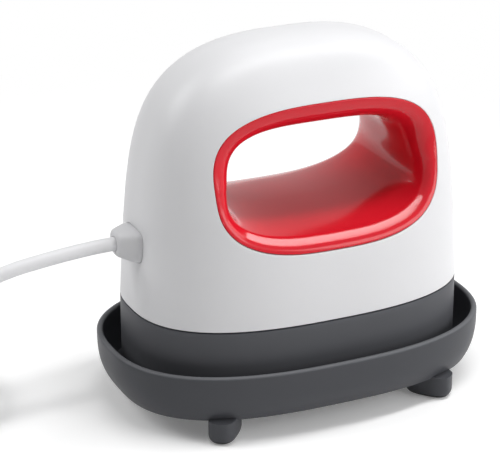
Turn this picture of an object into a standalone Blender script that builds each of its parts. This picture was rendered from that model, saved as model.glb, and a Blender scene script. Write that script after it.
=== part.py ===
"""A mini handheld heat press standing in its tray, piece by piece, at real size in metres.

The long axis is X, with the lead at the -X end and the controls at the +X end.  The bare face
looks along -Y, and the tray's feet stand on the table at z = 0.
"""

import math

import bmesh
import bpy
from mathutils import Matrix, Vector

# Fits and general facets
GAP = 0.0003  # clearance between pieces that touch or slide
OVERRUN = 0.006  # how far a cutter runs past the wall that it cuts
RING_SIDES = 48
PAD_SIDES = 24
SMALL_SIDES = 12
WELD = 0.00001

# Housing
HOUSING_LENGTH = 0.190
HOUSING_WIDTH = 0.1194
SHELL_HEIGHT = 0.1440
SHELL_WALL = 0.0024
SHELL_ROWS = 12
SEAM_GAP = 0.0006
SEAM_POWER = 2.597
CREST_POWER = 3.128
END_TAPER_SHARE = 0.102
SIDE_TAPER_SHARE = 0.096
END_CROWN = (5.537, 2.540)
SIDE_CROWN = (1.826, 2.793)

# Hand hole and its liner, seen from the front
HOLE_END_MARGIN = 0.0291  # from the housing's end at the seam to the hole's end
HOLE_RISE = 0.0409
HOLE_DROP = 0.0346
HOLE_SHIFT = 0.0030  # towards the control end
HOLE_ABOVE_SEAM = 0.0730
HOLE_POWERS = (2.859, 2.946)
HOLE_SPREAD_SHARE = 0.0377
THROAT_END_INSET = 0.0125
THROAT_TOP_INSET = 0.0169
THROAT_BOTTOM_INSET = 0.0066
THROAT_POWERS = (4.063, 2.902)
THROAT_SPREAD_SHARE = -0.140
FLARE_POWERS = (2.528, 2.789)
LINER_WALL = 0.0022
LINER_SIDES = 48
LINER_ROWS = 6
LUG_WIDTH = 0.0080
LUG_DEPTH = 0.0040
LUG_HEIGHT = 0.0090
LUG_END_ROOM = 0.0214  # from the throat's end to a lug's middle
LUG_ROOT = 0.0012  # how deep a lug is rooted in the liner's wall

# Skirt below the shell
SKIRT_HEIGHT = 0.0400
SKIRT_WALL = 0.0030
TONGUE_WALL = 0.0018
TONGUE_HEIGHT = 0.0050
DECK_THICKNESS = 0.0025
DECK_DROP = 0.0102  # deck's upper face below the skirt's shoulder

# Tray
TRAY_END_ROOM = 0.01015  # between the skirt and the rim's inner edge
TRAY_SIDE_ROOM = 0.00805
TRAY_DEPTH = 0.0271
TRAY_RIM_POWER = 2.53
TRAY_BASE_POWER = 2.72
TRAY_BASE_INSET = 0.0064
TRAY_TURN_POWER = 2.94
TRAY_WALL = 0.0033
TRAY_FLOOR = 0.0030
TRAY_ROWS = 5
FOOT_HEIGHT = 0.0126
FOOT_LENGTH = 0.0284
FOOT_WIDTH = 0.0182
FOOT_POWER = 2.8
FOOT_ANGLE = math.radians(50)
FOOT_END_INSET = 0.04625  # from the tray's end to a foot's middle
FOOT_SIDE_INSET = 0.01985
FOOT_DRAFT = 0.0013
FOOT_ROUND = 0.0044  # rounding of a foot's lower edge
FOOT_ROOT = 0.0100  # how far a foot runs up into the tray's wall
PAD_THICKNESS = 0.0020
PAD_SHARES = (0.0, 0.2, 1.0)
MAT_THICKNESS = 0.0020
MAT_INSET = 0.0040

# Hot plate stack
PLATE_THICKNESS = 0.0090
PLATE_PROUD = 0.0020  # how far the plate stands below the skirt
PLATE_SIDE_GAP = 0.0020
PLATE_EDGE_ROUND = 0.0012
ELEMENT_RADIUS = 0.0032
ELEMENT_COLUMN_ROOM = 0.0080  # from the shell's columns to a leg's middle line
ELEMENT_START_INSET = 0.0240  # from the plate's end to where the legs begin to climb
ELEMENT_TURN_INSET = 0.0440  # from the plate's other end to the turn's middle
ELEMENT_LIFT_RADIUS = 0.0090
ELEMENT_STEM_ABOVE_DECK = 0.0060
ELEMENT_TURN_STEPS = 12
FELT_THICKNESS = 0.0060
FELT_INSET = 0.0080
SHIELD_WALL = 0.0008
SHIELD_LIP = 0.0045
POST_RADIUS = 0.0045
POST_END_INSET = 0.0440  # from the plate's end
POST_LEG_ROOM = 0.0100  # from an element leg's middle line
SPACER_RADIUS = 0.0035
THREAD_DEPTH = 0.0050
SENSOR_X = 0.0220
SENSOR_LENGTH = 0.0120
SENSOR_WIDTH = 0.0050
SENSOR_HEIGHT = 0.0028
FUSE_RADIUS = 0.0022
FUSE_LENGTH = 0.0110
SENSOR_WINDOW_RADIUS = 0.0095
STEM_WINDOW_RADIUS = 0.0055

# Screws
SCREW_RADIUS = 0.0015
SCREW_HEAD_RADIUS = 0.0029
SCREW_HEAD_HEIGHT = 0.0020
SCREW_HEAD_TOP_SHARE = 0.75
HOUSING_SCREW_LENGTH = 0.0160
COLUMN_RADIUS = 0.0040
COLUMN_HEIGHT = 0.0380
COLUMN_ANGLE = math.radians(38)
RIB_THICKNESS = 0.0024
RIB_HEIGHT = 0.0160

# Control end
PANEL_WIDTH = 0.0340
PANEL_HEIGHT = 0.0560
PANEL_CENTRE_ABOVE_SEAM = 0.0640
PANEL_POWER = 5.0
BOARD_THICKNESS = 0.0016
BOARD_ROOM = 0.0013  # between the board's corners and the shell
BOARD_INSET = 0.0040
STANDOFF_RADIUS = 0.0024
STANDOFF_INSET = 0.0050
BUTTON_RADIUS = 0.0075
BUTTON_FLANGE_RADIUS = 0.0095
BUTTON_FLANGE_WALL = 0.0015
BUTTON_PROUD = 0.0016
BUTTON_CROWN = 0.0007
BUTTON_DOME_SHARES = (0.60, 0.25)  # radius and drop of the dome's middle ring
BUTTON_STEM_RADIUS = 0.0025
BUTTON_TRAVEL = 0.0008
BUTTON_DROP = 0.0130  # below the panel's centre
SWITCH_SIZE = 0.0060
SWITCH_HEIGHT = 0.0035
PLUNGER_RADIUS = 0.0017
PLUNGER_HEIGHT = 0.0010
LIGHT_RADIUS = 0.0020
LIGHT_PITCH = 0.0080
LIGHT_RISE = 0.0030  # lowest light above the panel's centre
LIGHT_PROUD = 0.0003

# Lead, its relief and what holds it inside
CORD_DIAMETER = 0.0076
RELIEF_ABOVE_SEAM = 0.0358
RELIEF_SIZE = 0.0260
RELIEF_POWER = 5.0
RELIEF_PROUD = 0.0130
RELIEF_STEP = 0.0022  # straight edge of its base, outside the end wall
RELIEF_TIP_RADIUS = 0.0060
RELIEF_TIP_SHARE = 0.95
RELIEF_BOOT_SHARES = ((0.0, 1.0), (0.16, 0.94), (0.38, 0.76), (0.62, 0.56), (0.84, 0.46))
RELIEF_FLANGE = 0.0020
RELIEF_FLANGE_WALL = 0.0025
RELIEF_SIDES = 24
LEAD_TURN_RADIUS = 0.0205
LEAD_TURN_STEPS = 8
CLAMP_ROOM = 0.0015  # from the end of the lead's turn to the clamp
CLAMP_LENGTH = 0.0080
CLAMP_WIDTH = 0.0262
CLAMP_WALL = 0.0022
CLAMP_FOOT = 0.0030
CLAMP_SCREW_LENGTH = 0.0080
BLOCK_ROOM = 0.0070  # from the clamp to the block
BLOCK_LENGTH = 0.0180
BLOCK_WIDTH = 0.0180
BLOCK_HEIGHT = 0.0120
BLOCK_HOLE_RADIUS = 0.0018
BLOCK_HOLE_PITCH = 0.0055
BLOCK_HOLE_DEPTH = 0.0030
BLOCK_ENTRY_SHARE = 0.667  # height at which the wires go in
WIRE_RADIUS = 0.0012
WIRE_ENTRY_SHARE = 0.875
CABLE_SHARES = (0.10, 0.31, 0.63, 0.954)  # of the way from the block to the board

CORD_ROUTE = [
    (-0.1130, 0.0000, 0.0965),
    (-0.1220, 0.0000, 0.0961),
    (-0.1330, 0.0000, 0.0953),
    (-0.1450, 0.0000, 0.0940),
    (-0.1580, 0.0000, 0.0920),
    (-0.1710, 0.0001, 0.0892),
    (-0.1821, -0.0006, 0.0855),
    (-0.1938, -0.0025, 0.0795),
    (-0.2058, -0.0048, 0.0717),
    (-0.2177, -0.0070, 0.0627),
    (-0.2292, -0.0083, 0.0530),
    (-0.2399, -0.0081, 0.0433),
    (-0.2494, -0.0057, 0.0341),
    (-0.2575, -0.0004, 0.0259),
    (-0.2636, 0.0083, 0.0194),
    (-0.2676, 0.0213, 0.0151),
    (-0.2689, 0.0331, 0.0138),
    (-0.2690, 0.0391, 0.0135),
]

# Wound lead, tie and plug
COIL_CENTRE = (-0.2140, 0.0540)
COIL_OUTER_RADIUS = 0.0550
COIL_PITCH = 0.0082
COIL_TURNS_PER_LAYER = 3
LOOP_POINTS = 24
TIE_WALL = 0.0008
TIE_WIDTH = 0.0120
TIE_SLACK = 0.0009
TIE_POWER = 10.0
PLUG_WIDTH = 0.0260
PLUG_HEIGHT = 0.0150
PLUG_BODY_LENGTH = 0.0220
PLUG_BOOT_LENGTH = 0.0180
TAIL_LENGTH = 0.0350
TAIL_LOW_SHARE = 0.5  # how much of the tail lies low before it climbs to the plug
PLUG_BOOT_RADIUS = 0.0056
PLUG_POWER = 4.0
PLUG_EDGE = 0.0027  # rounding of the body's ends
PLUG_BOOT_SHARES = (1.5, 0.875)  # the boot's growth in width, and the body's height behind its face
PLUG_FACE_SHARE = 0.94
BLADE_WIDTH = 0.0063
BLADE_WALL = 0.0015
BLADE_LENGTH = 0.0170
BLADE_SPREAD = 0.0127

# Sizes and levels that the sizes above give
hole_half_length = HOUSING_LENGTH / 2 - HOLE_END_MARGIN
plate_half_length = HOUSING_LENGTH / 2 - SKIRT_WALL - PLATE_SIDE_GAP
plate_half_width = HOUSING_WIDTH / 2 - SKIRT_WALL - PLATE_SIDE_GAP
leg_start = ELEMENT_START_INSET - plate_half_length
post_x = plate_half_length - POST_END_INSET
tray_half_length = HOUSING_LENGTH / 2 + TRAY_END_ROOM + TRAY_WALL
tray_half_width = HOUSING_WIDTH / 2 + TRAY_SIDE_ROOM + TRAY_WALL
foot_x = tray_half_length - FOOT_END_INSET
foot_y = tray_half_width - FOOT_SIDE_INSET
tray_underside = FOOT_HEIGHT
tray_floor_top = tray_underside + TRAY_FLOOR
mat_bottom = tray_floor_top + GAP
plate_bottom = mat_bottom + MAT_THICKNESS + GAP
plate_top = plate_bottom + PLATE_THICKNESS
skirt_bottom = plate_bottom + PLATE_PROUD
skirt_top = skirt_bottom + SKIRT_HEIGHT
shell_bottom = skirt_top + SEAM_GAP
hole_height = shell_bottom + HOLE_ABOVE_SEAM
deck_top = skirt_top - DECK_DROP
deck_bottom = deck_top - DECK_THICKNESS
felt_bottom = plate_top + ELEMENT_RADIUS + GAP
shield_top = felt_bottom + FELT_THICKNESS + GAP + SHIELD_WALL
cord_radius = CORD_DIAMETER / 2
relief_height = shell_bottom + RELIEF_ABOVE_SEAM
panel_height = shell_bottom + PANEL_CENTRE_ABOVE_SEAM
button_height = panel_height - BUTTON_DROP

for leftover in list(bpy.data.objects):
    bpy.data.objects.remove(leftover, do_unlink=True)

parts = bpy.data.collections.new("mini_heat_press")
cutters = bpy.data.collections.new("cutters")
bpy.context.scene.collection.children.link(parts)
bpy.context.scene.collection.children.link(cutters)


def paint(piece, colour, roughness, metallic=0.0):
    """Gives a piece its own plain material."""
    material = bpy.data.materials.new(piece.name)
    material.use_nodes = True
    shader = material.node_tree.nodes["Principled BSDF"]
    shader.inputs["Base Color"].default_value = (*colour, 1.0)
    shader.inputs["Roughness"].default_value = roughness
    shader.inputs["Metallic"].default_value = metallic
    piece.data.materials.clear()
    piece.data.materials.append(material)
    return piece


def add_mesh(name, shape, collection=parts):
    """Puts a bmesh into the scene as an object, smooth except at its sharp edges."""
    bmesh.ops.recalc_face_normals(shape, faces=shape.faces)
    mesh = bpy.data.meshes.new(name)
    shape.to_mesh(mesh)
    shape.free()
    mesh.shade_smooth()
    mesh.set_sharp_from_angle(angle=math.radians(35))
    piece = bpy.data.objects.new(name, mesh)
    collection.objects.link(piece)
    return piece


def box(name, low, high, collection=parts):
    """A block between two corners."""
    shape = bmesh.new()
    bmesh.ops.create_cube(shape, size=1)
    size = Vector(high) - Vector(low)
    bmesh.ops.scale(shape, vec=size, verts=shape.verts)
    piece = add_mesh(name, shape, collection)
    piece.location = (Vector(low) + Vector(high)) / 2
    return piece


def rod(name, radius, start, end, collection=parts, sides=SMALL_SIDES):
    """A round bar between two points."""
    run = Vector(end) - Vector(start)
    shape = bmesh.new()
    bmesh.ops.create_cone(
        shape, cap_ends=True, segments=sides, radius1=radius, radius2=radius, depth=run.length
    )
    piece = add_mesh(name, shape, collection)
    piece.location = (Vector(start) + Vector(end)) / 2
    piece.rotation_euler = run.to_track_quat("Z", "Y").to_euler()
    return piece


def turned(name, profile, place, direction, sides=SMALL_SIDES):
    """A profile of radius and height, listed from top to bottom, turned about a line through place."""
    shape = bmesh.new()
    points = [shape.verts.new((radius, 0, height)) for radius, height in profile]
    for upper, lower in zip(points, points[1:]):
        shape.edges.new((upper, lower))
    mesh = bpy.data.meshes.new(name)
    shape.to_mesh(mesh)
    shape.free()
    piece = bpy.data.objects.new(name, mesh)
    parts.objects.link(piece)
    piece.location = place
    piece.rotation_euler = Vector(direction).to_track_quat("Z", "Y").to_euler()
    turn = piece.modifiers.new("turn", "SCREW")
    turn.steps = sides
    turn.render_steps = sides
    turn.use_merge_vertices = True
    turn.merge_threshold = WELD
    return piece


def skin(shape, rows):
    """Faces between rows of corners, each row a closed ring."""
    for row, following in zip(rows, rows[1:]):
        for index in range(len(row)):
            beside = (index + 1) % len(row)
            shape.faces.new((row[index], row[beside], following[beside], following[index]))


def loft(name, rings, collection=parts, hollow=False):
    """A closed skin through rings of equal count: flat caps at its ends, or back to the first ring."""
    shape = bmesh.new()
    rows = [[shape.verts.new(point) for point in ring] for ring in rings]
    if hollow:
        skin(shape, [*rows, rows[0]])
    else:
        skin(shape, rows)
        shape.faces.new(rows[0])
        shape.faces.new(rows[-1])
    return add_mesh(name, shape, collection)


def tube(name, points, radius, resolution, collection=parts):
    """A round tube through the points, with closed ends."""
    curve = bpy.data.curves.new(name, "CURVE")
    curve.dimensions = "3D"
    curve.bevel_depth = radius
    curve.bevel_resolution = resolution
    curve.use_fill_caps = True
    spline = curve.splines.new("POLY")
    spline.points.add(len(points) - 1)
    for control, point in zip(spline.points, points):
        control.co = (*point, 1)
    piece = bpy.data.objects.new(name, curve)
    collection.objects.link(piece)
    return piece


def slab(name, outlines, low, high, collection=parts):
    """Flat outlines in X and Y, raised between two heights; an inner outline is a hole."""
    curve = bpy.data.curves.new(name, "CURVE")
    curve.dimensions = "2D"
    curve.fill_mode = "BOTH"
    curve.extrude = (high - low) / 2
    for outline in outlines:
        spline = curve.splines.new("POLY")
        spline.points.add(len(outline) - 1)
        for control, point in zip(spline.points, outline):
            control.co = (point[0], point[1], 0, 1)
        spline.use_cyclic_u = True
    piece = bpy.data.objects.new(name, curve)
    collection.objects.link(piece)
    piece.location = (0, 0, (low + high) / 2)
    return piece


def as_mesh(piece):
    """Turns a curve object into a mesh object of the same name and place, with its caps welded."""
    name = piece.name
    collection = piece.users_collection[0]
    bpy.context.view_layer.update()
    evaluated = piece.evaluated_get(bpy.context.evaluated_depsgraph_get())
    mesh = bpy.data.meshes.new_from_object(evaluated)
    place = piece.matrix_world.copy()
    bpy.data.objects.remove(piece, do_unlink=True)
    shape = bmesh.new()
    shape.from_mesh(mesh)
    bmesh.ops.remove_doubles(shape, verts=shape.verts, dist=WELD)
    bmesh.ops.dissolve_limit(
        shape, angle_limit=math.radians(0.1), verts=shape.verts, edges=shape.edges
    )
    solid = add_mesh(name, shape, collection)
    solid.matrix_world = place
    return solid


def combine(piece, tool, operation):
    """Adds a live Boolean to a piece, and keeps its tool out of the model."""
    if tool.name not in cutters.objects:
        parts.objects.unlink(tool)
        cutters.objects.link(tool)
    tool.hide_render = True
    tool.display_type = "WIRE"
    step = piece.modifiers.new(operation.lower(), "BOOLEAN")
    step.operation = operation
    step.solver = "EXACT"
    step.object = tool
    return piece


def cut(piece, tool):
    return combine(piece, tool, "DIFFERENCE")


def join(piece, tool):
    return combine(piece, tool, "UNION")


def even_angles(count):
    return [2 * math.pi * step / count for step in range(count)]


def swell(value, power):
    """Cosine or sine raised so that it walks a superellipse, keeping its sign."""
    return math.copysign(abs(value) ** (2 / power), value)


def oval(half_length, half_width, power, count=RING_SIDES):
    """Points of a superellipse in X and Y."""
    return [
        (half_length * swell(math.cos(a), power), half_width * swell(math.sin(a), power))
        for a in even_angles(count)
    ]


# Housing surface: level 0 is the seam and level 1 the crest
def crown(level, powers):
    return max(0, 1 - level ** powers[0]) ** (1 / powers[1])


def half_length_at(level):
    return HOUSING_LENGTH / 2 * (1 - END_TAPER_SHARE * level) * crown(level, END_CROWN)


def half_width_at(level):
    return HOUSING_WIDTH / 2 * (1 - SIDE_TAPER_SHARE * level) * crown(level, SIDE_CROWN)


def power_at(level):
    return SEAM_POWER + (CREST_POWER - SEAM_POWER) * level


def level_at(z):
    return min(1, max(0, (z - shell_bottom) / SHELL_HEIGHT))


def housing_ring(z, inset=0):
    """The housing's section at a height, drawn in by inset."""
    level = level_at(z)
    outline = oval(half_length_at(level) - inset, half_width_at(level) - inset, power_at(level))
    return [(x, y, z) for x, y in outline]


def depth_at(x, z):
    """Distance of the housing's front surface from the middle plane."""
    level = level_at(z)
    power = power_at(level)
    share = min(1, abs(x) / half_length_at(level)) ** power
    return half_width_at(level) * (1 - share) ** (1 / power)


def reach_at(y, z):
    """Distance of the housing's end surface from the middle plane."""
    level = level_at(z)
    power = power_at(level)
    share = min(1, abs(y) / half_width_at(level)) ** power
    return half_length_at(level) * (1 - share) ** (1 / power)


def shell_surface(name, collection=parts):
    """The open outer surface of the shell with its wall inside it."""
    shape = bmesh.new()
    rows = []
    for step in range(SHELL_ROWS):
        level = math.sin(math.pi / 2 * step / SHELL_ROWS)
        ring = housing_ring(shell_bottom + SHELL_HEIGHT * level)
        rows.append([shape.verts.new(point) for point in ring])
    skin(shape, rows)
    crest = shape.verts.new((0, 0, shell_bottom + SHELL_HEIGHT))
    for index in range(RING_SIDES):
        shape.faces.new((rows[-1][index], rows[-1][(index + 1) % RING_SIDES], crest))
    piece = add_mesh(name, shape, collection)
    wall = piece.modifiers.new("wall", "SOLIDIFY")
    wall.thickness = SHELL_WALL
    wall.offset = -1
    wall.use_even_offset = True
    return piece


# Hand hole, seen from the front
def hole_point(angle, insets, powers, spread, grow=0):
    """A point of the hole's rim, or of its throat where the insets draw it in."""
    across, up = math.cos(angle), math.sin(angle)
    power = powers[0] if up >= 0 else powers[1]
    height = HOLE_RISE - insets[1] if up >= 0 else HOLE_DROP - insets[2]
    rise = (height + grow) * swell(up, power)
    run = (hole_half_length - insets[0] + grow) * swell(across, power)
    return HOLE_SHIFT + run * (1 + spread * rise / HOLE_RISE), hole_height + rise


def rim_point(angle, grow=0):
    return hole_point(angle, (0, 0, 0), HOLE_POWERS, HOLE_SPREAD_SHARE, grow)


def throat_point(angle, grow=0):
    insets = (THROAT_END_INSET, THROAT_TOP_INSET, THROAT_BOTTOM_INSET)
    return hole_point(angle, insets, THROAT_POWERS, THROAT_SPREAD_SHARE, grow)


def liner_point(angle, depth_share, wall=0):
    """A point of the flared tunnel, or of its back where wall is given.

    The share runs from 0 at mid depth to 1 at the housing's face.
    """
    rim_x, rim_z = rim_point(angle)
    throat_x, throat_z = throat_point(angle, wall)
    power = FLARE_POWERS[1] + (FLARE_POWERS[0] - FLARE_POWERS[1]) * math.sin(angle) ** 2
    narrowing = max(0, 1 - depth_share**power) ** (1 / power)
    x = rim_x + (throat_x - rim_x) * narrowing
    z = rim_z + (throat_z - rim_z) * narrowing
    return x, (depth_at(rim_x, rim_z) - wall) * depth_share, z


# Outer shell with its screw columns
shell = shell_surface("outer_shell")
column_inset = SHELL_WALL + GAP + TONGUE_WALL + GAP + COLUMN_RADIUS
column_x = (HOUSING_LENGTH / 2 - column_inset) * swell(math.cos(COLUMN_ANGLE), SEAM_POWER)
column_y = (HOUSING_WIDTH / 2 - column_inset) * swell(math.sin(COLUMN_ANGLE), SEAM_POWER)
corners = ((1, 1), (-1, 1), (-1, -1), (1, -1))
columns = [(side_x * column_x, side_y * column_y) for side_x, side_y in corners]
for number, (x, y) in enumerate(columns, 1):
    foot = deck_top + GAP
    column = rod(f"column_{number}", COLUMN_RADIUS, (x, y, foot), (x, y, foot + COLUMN_HEIGHT), cutters)
    join(shell, column)
    rib_bottom = shell_bottom + TONGUE_HEIGHT + SEAM_GAP
    rib_rings = []
    for z in (rib_bottom, rib_bottom + RIB_HEIGHT):
        edges = (x - RIB_THICKNESS / 2, x + RIB_THICKNESS / 2)
        outer = [(edge, math.copysign(depth_at(edge, z) - SHELL_WALL / 2, y), z) for edge in edges]
        rib_rings.append([(edges[1], y, z), (edges[0], y, z), *outer])
    join(shell, loft(f"rib_{number}", rib_rings, cutters))
for number, (x, y) in enumerate(columns, 1):
    pilot_top = deck_top + HOUSING_SCREW_LENGTH
    start = (x, y, deck_top - OVERRUN)
    cut(shell, rod(f"pilot_{number}", SCREW_RADIUS + GAP, start, (x, y, pilot_top), cutters))
hole_outline = [rim_point(angle, GAP) for angle in even_angles(LINER_SIDES)]
hole_reach = HOUSING_WIDTH / 2 + OVERRUN
hole_cutter = loft(
    "hand_hole_cutter",
    [[(x, y, z) for x, z in hole_outline] for y in (-hole_reach, hole_reach)],
    cutters,
)
cut(shell, hole_cutter)


def end_outline(size_y, size_z, power, centre_z, count=RELIEF_SIDES):
    """A rounded rectangle in Y and Z."""
    return [(y, centre_z + z) for y, z in oval(size_y / 2, size_z / 2, power, count)]


def end_prism(name, size_y, size_z, power, centre_z, start_x, end_x):
    """A rounded rectangular bar along X, used to cut or trim an end wall."""
    outline = end_outline(size_y, size_z, power, centre_z)
    return loft(name, [[(x, y, z) for y, z in outline] for x in (start_x, end_x)], cutters)


end_reach = HOUSING_LENGTH / 2 + OVERRUN
panel_root = reach_at(PANEL_WIDTH / 2, panel_height + PANEL_HEIGHT / 2) - SHELL_WALL - OVERRUN
relief_opening = RELIEF_SIZE + 2 * GAP
cut(
    shell,
    end_prism(
        "relief_opening", relief_opening, relief_opening, RELIEF_POWER, relief_height, -end_reach, -panel_root
    ),
)
cut(
    shell,
    end_prism(
        "panel_opening",
        PANEL_WIDTH + 2 * GAP,
        PANEL_HEIGHT + 2 * GAP,
        PANEL_POWER,
        panel_height,
        panel_root,
        end_reach,
    ),
)
paint(shell, (0.86, 0.86, 0.88), 0.25)


# Grip liner: two halves of the tunnel with screw lugs under and over it
def liner_half(name, side):
    """One half of the liner: its tunnel out to the housing's face, then its back to the middle plane."""
    shares = [math.sin(math.pi / 2 * step / LINER_ROWS) for step in range(LINER_ROWS + 1)]
    rings = []
    for wall, order in ((0, shares), (LINER_WALL, reversed(shares))):
        for share in order:
            ring = []
            for angle in even_angles(LINER_SIDES):
                x, y, z = liner_point(angle, share, wall)
                ring.append((x, side * max(y, GAP / 2), z))
            rings.append(ring)
    return loft(name, rings, hollow=True)


lug_x = hole_half_length - THROAT_END_INSET - LUG_END_ROOM
lugs = [(HOLE_SHIFT + side * lug_x, pointing) for pointing in (-1, 1) for side in (-1, 1)]


def lug_root(x, pointing):
    """The tunnel wall's outer height at a lug that points down or up, from the throat's outline."""
    share = abs(x - HOLE_SHIFT) / (hole_half_length - THROAT_END_INSET)
    power = THROAT_POWERS[0] if pointing > 0 else THROAT_POWERS[1]
    rise = HOLE_RISE - THROAT_TOP_INSET if pointing > 0 else HOLE_DROP - THROAT_BOTTOM_INSET
    wall = rise * (1 - share**power) ** (1 / power)
    return hole_height + pointing * (wall + LINER_WALL)


for name, side in (("grip_liner_front", -1), ("grip_liner_rear", 1)):
    half = liner_half(name, side)
    for number, (x, pointing) in enumerate(lugs, 1):
        root = lug_root(x, pointing)
        ends = sorted((root - pointing * LUG_ROOT, root + pointing * LUG_HEIGHT))
        faces = sorted((side * GAP / 2, side * (GAP / 2 + LUG_DEPTH)))
        low = (x - LUG_WIDTH / 2, faces[0], ends[0])
        high = (x + LUG_WIDTH / 2, faces[1], ends[1])
        join(half, box(f"{name}_lug_{number}", low, high, cutters))
    for number, (x, pointing) in enumerate(lugs, 1):
        screw_z = lug_root(x, pointing) + pointing * LUG_HEIGHT / 2
        bore = rod(
            f"{name}_bore_{number}",
            SCREW_RADIUS + GAP,
            (x, -LUG_DEPTH - OVERRUN, screw_z),
            (x, LUG_DEPTH + OVERRUN, screw_z),
            cutters,
        )
        cut(half, bore)
    paint(half, (0.70, 0.03, 0.06), 0.22)


def screw(name, length, place, direction):
    """A pan-head screw: place is under its head, and direction points from tip to head."""
    profile = [
        (0, SCREW_HEAD_HEIGHT),
        (SCREW_HEAD_RADIUS * SCREW_HEAD_TOP_SHARE, SCREW_HEAD_HEIGHT),
        (SCREW_HEAD_RADIUS, 0),
        (SCREW_RADIUS, 0),
        (SCREW_RADIUS, -length),
        (0, -length),
    ]
    return paint(turned(name, profile, place, direction), (0.55, 0.55, 0.56), 0.3, 1.0)


for number, (x, pointing) in enumerate(lugs, 1):
    screw_z = lug_root(x, pointing) + pointing * LUG_HEIGHT / 2
    head_y = GAP / 2 + LUG_DEPTH + GAP
    screw(f"liner_screw_{number}", 2 * LUG_DEPTH, (x, head_y, screw_z), (0, 1, 0))

# Lower housing: the skirt's wall, its tongue inside the shell, and the deck with its posts
tongue_outer = SHELL_WALL + GAP
tongue_inner = tongue_outer + TONGUE_WALL
skirt_rings = [
    housing_ring(deck_bottom, SKIRT_WALL),
    housing_ring(skirt_bottom, SKIRT_WALL),
    housing_ring(skirt_bottom, 0),
    housing_ring(skirt_top, 0),
    housing_ring(skirt_top, tongue_outer),
]
for z, inset in ((shell_bottom + TONGUE_HEIGHT, tongue_outer), (shell_bottom + TONGUE_HEIGHT, tongue_inner)):
    level = level_at(z)
    flat = oval(half_length_at(level) - inset, half_width_at(level) - inset, power_at(level))
    skirt_rings.append([(x, y, z) for x, y in flat])
skirt_rings.append(housing_ring(deck_top, tongue_inner))
lower_housing = loft("lower_housing", skirt_rings)
leg_y = column_y - ELEMENT_COLUMN_ROOM
post_y = leg_y - POST_LEG_ROOM
posts = [(x * post_x, y * post_y) for x in (-1, 1) for y in (-1, 1)]
for number, (x, y) in enumerate(posts, 1):
    post_end = shield_top + GAP
    post = rod(f"post_{number}", POST_RADIUS, (x, y, post_end), (x, y, deck_top - GAP), cutters)
    join(lower_housing, post)
for number, (x, y) in enumerate(posts + columns, 1):
    start = (x, y, shield_top - OVERRUN)
    hole = rod(f"deck_hole_{number}", SCREW_RADIUS + GAP, start, (x, y, deck_top + OVERRUN), cutters)
    cut(lower_housing, hole)
stem_x = leg_start - ELEMENT_LIFT_RADIUS
stems = [(stem_x, side * leg_y) for side in (-1, 1)]
sensors = [(-SENSOR_X, 0), (SENSOR_X, 0)]
for number, (x, y) in enumerate(stems, 1):
    window = rod(
        f"deck_window_{number}",
        STEM_WINDOW_RADIUS,
        (x, y, deck_bottom - OVERRUN),
        (x, y, deck_top + OVERRUN),
        cutters,
    )
    cut(lower_housing, window)
flange_size = RELIEF_SIZE + 2 * RELIEF_FLANGE
relief_seat = reach_at(flange_size / 2, relief_height + flange_size / 2) - SHELL_WALL - 2 * GAP
relief_back = relief_seat - RELIEF_FLANGE_WALL
inner_start = -relief_back + GAP
turn_end = inner_start + GAP + 2 * LEAD_TURN_RADIUS
clamp_x = turn_end + CLAMP_ROOM + CLAMP_LENGTH / 2
inner_end = clamp_x + CLAMP_LENGTH / 2 + BLOCK_ROOM
clamp_screws = [(clamp_x, side * (CLAMP_WIDTH / 2 - SCREW_HEAD_RADIUS - GAP)) for side in (-1, 1)]
for number, (x, y) in enumerate(clamp_screws, 1):
    start = (x, y, deck_bottom - OVERRUN)
    hole = rod(f"clamp_hole_{number}", SCREW_RADIUS + GAP, start, (x, y, deck_top + OVERRUN), cutters)
    cut(lower_housing, hole)
paint(lower_housing, (0.075, 0.077, 0.085), 0.55)
for number, (x, y) in enumerate(columns, 1):
    screw(f"housing_screw_{number}", HOUSING_SCREW_LENGTH, (x, y, deck_bottom - GAP), (0, 0, -1))

# Heating plate with a round groove for its element
def plate_ring(z, inset=0):
    outline = oval(plate_half_length - inset, plate_half_width - inset, SEAM_POWER)
    return [(x, y, z) for x, y in outline]


plate = loft(
    "heating_plate",
    [
        plate_ring(plate_bottom, PLATE_EDGE_ROUND),
        plate_ring(plate_bottom + PLATE_EDGE_ROUND),
        plate_ring(plate_top),
    ],
)


def element_route(climbing):
    """Two legs joined by a round turn; where climbing, each end bends up through the deck."""
    turn_x = plate_half_length - ELEMENT_TURN_INSET
    leg = [(leg_start, -leg_y, plate_top)]
    steps = range(ELEMENT_TURN_STEPS + 1)
    for step in steps:
        angle = math.pi * step / ELEMENT_TURN_STEPS - math.pi / 2
        leg.append((turn_x + leg_y * math.cos(angle), leg_y * math.sin(angle), plate_top))
    leg.append((leg_start, leg_y, plate_top))
    if not climbing:
        return leg
    bend_steps = ELEMENT_TURN_STEPS // 3
    rise = []
    for step in range(1, bend_steps + 1):
        angle = math.pi / 2 * step / bend_steps
        x = leg_start - ELEMENT_LIFT_RADIUS * math.sin(angle)
        rise.append((x, plate_top + ELEMENT_LIFT_RADIUS * (1 - math.cos(angle))))
    rise.append((stem_x, deck_top + ELEMENT_STEM_ABOVE_DECK))
    first = [(x, -leg_y, z) for x, z in reversed(rise)]
    last = [(x, leg_y, z) for x, z in rise]
    return first + leg + last


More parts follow.
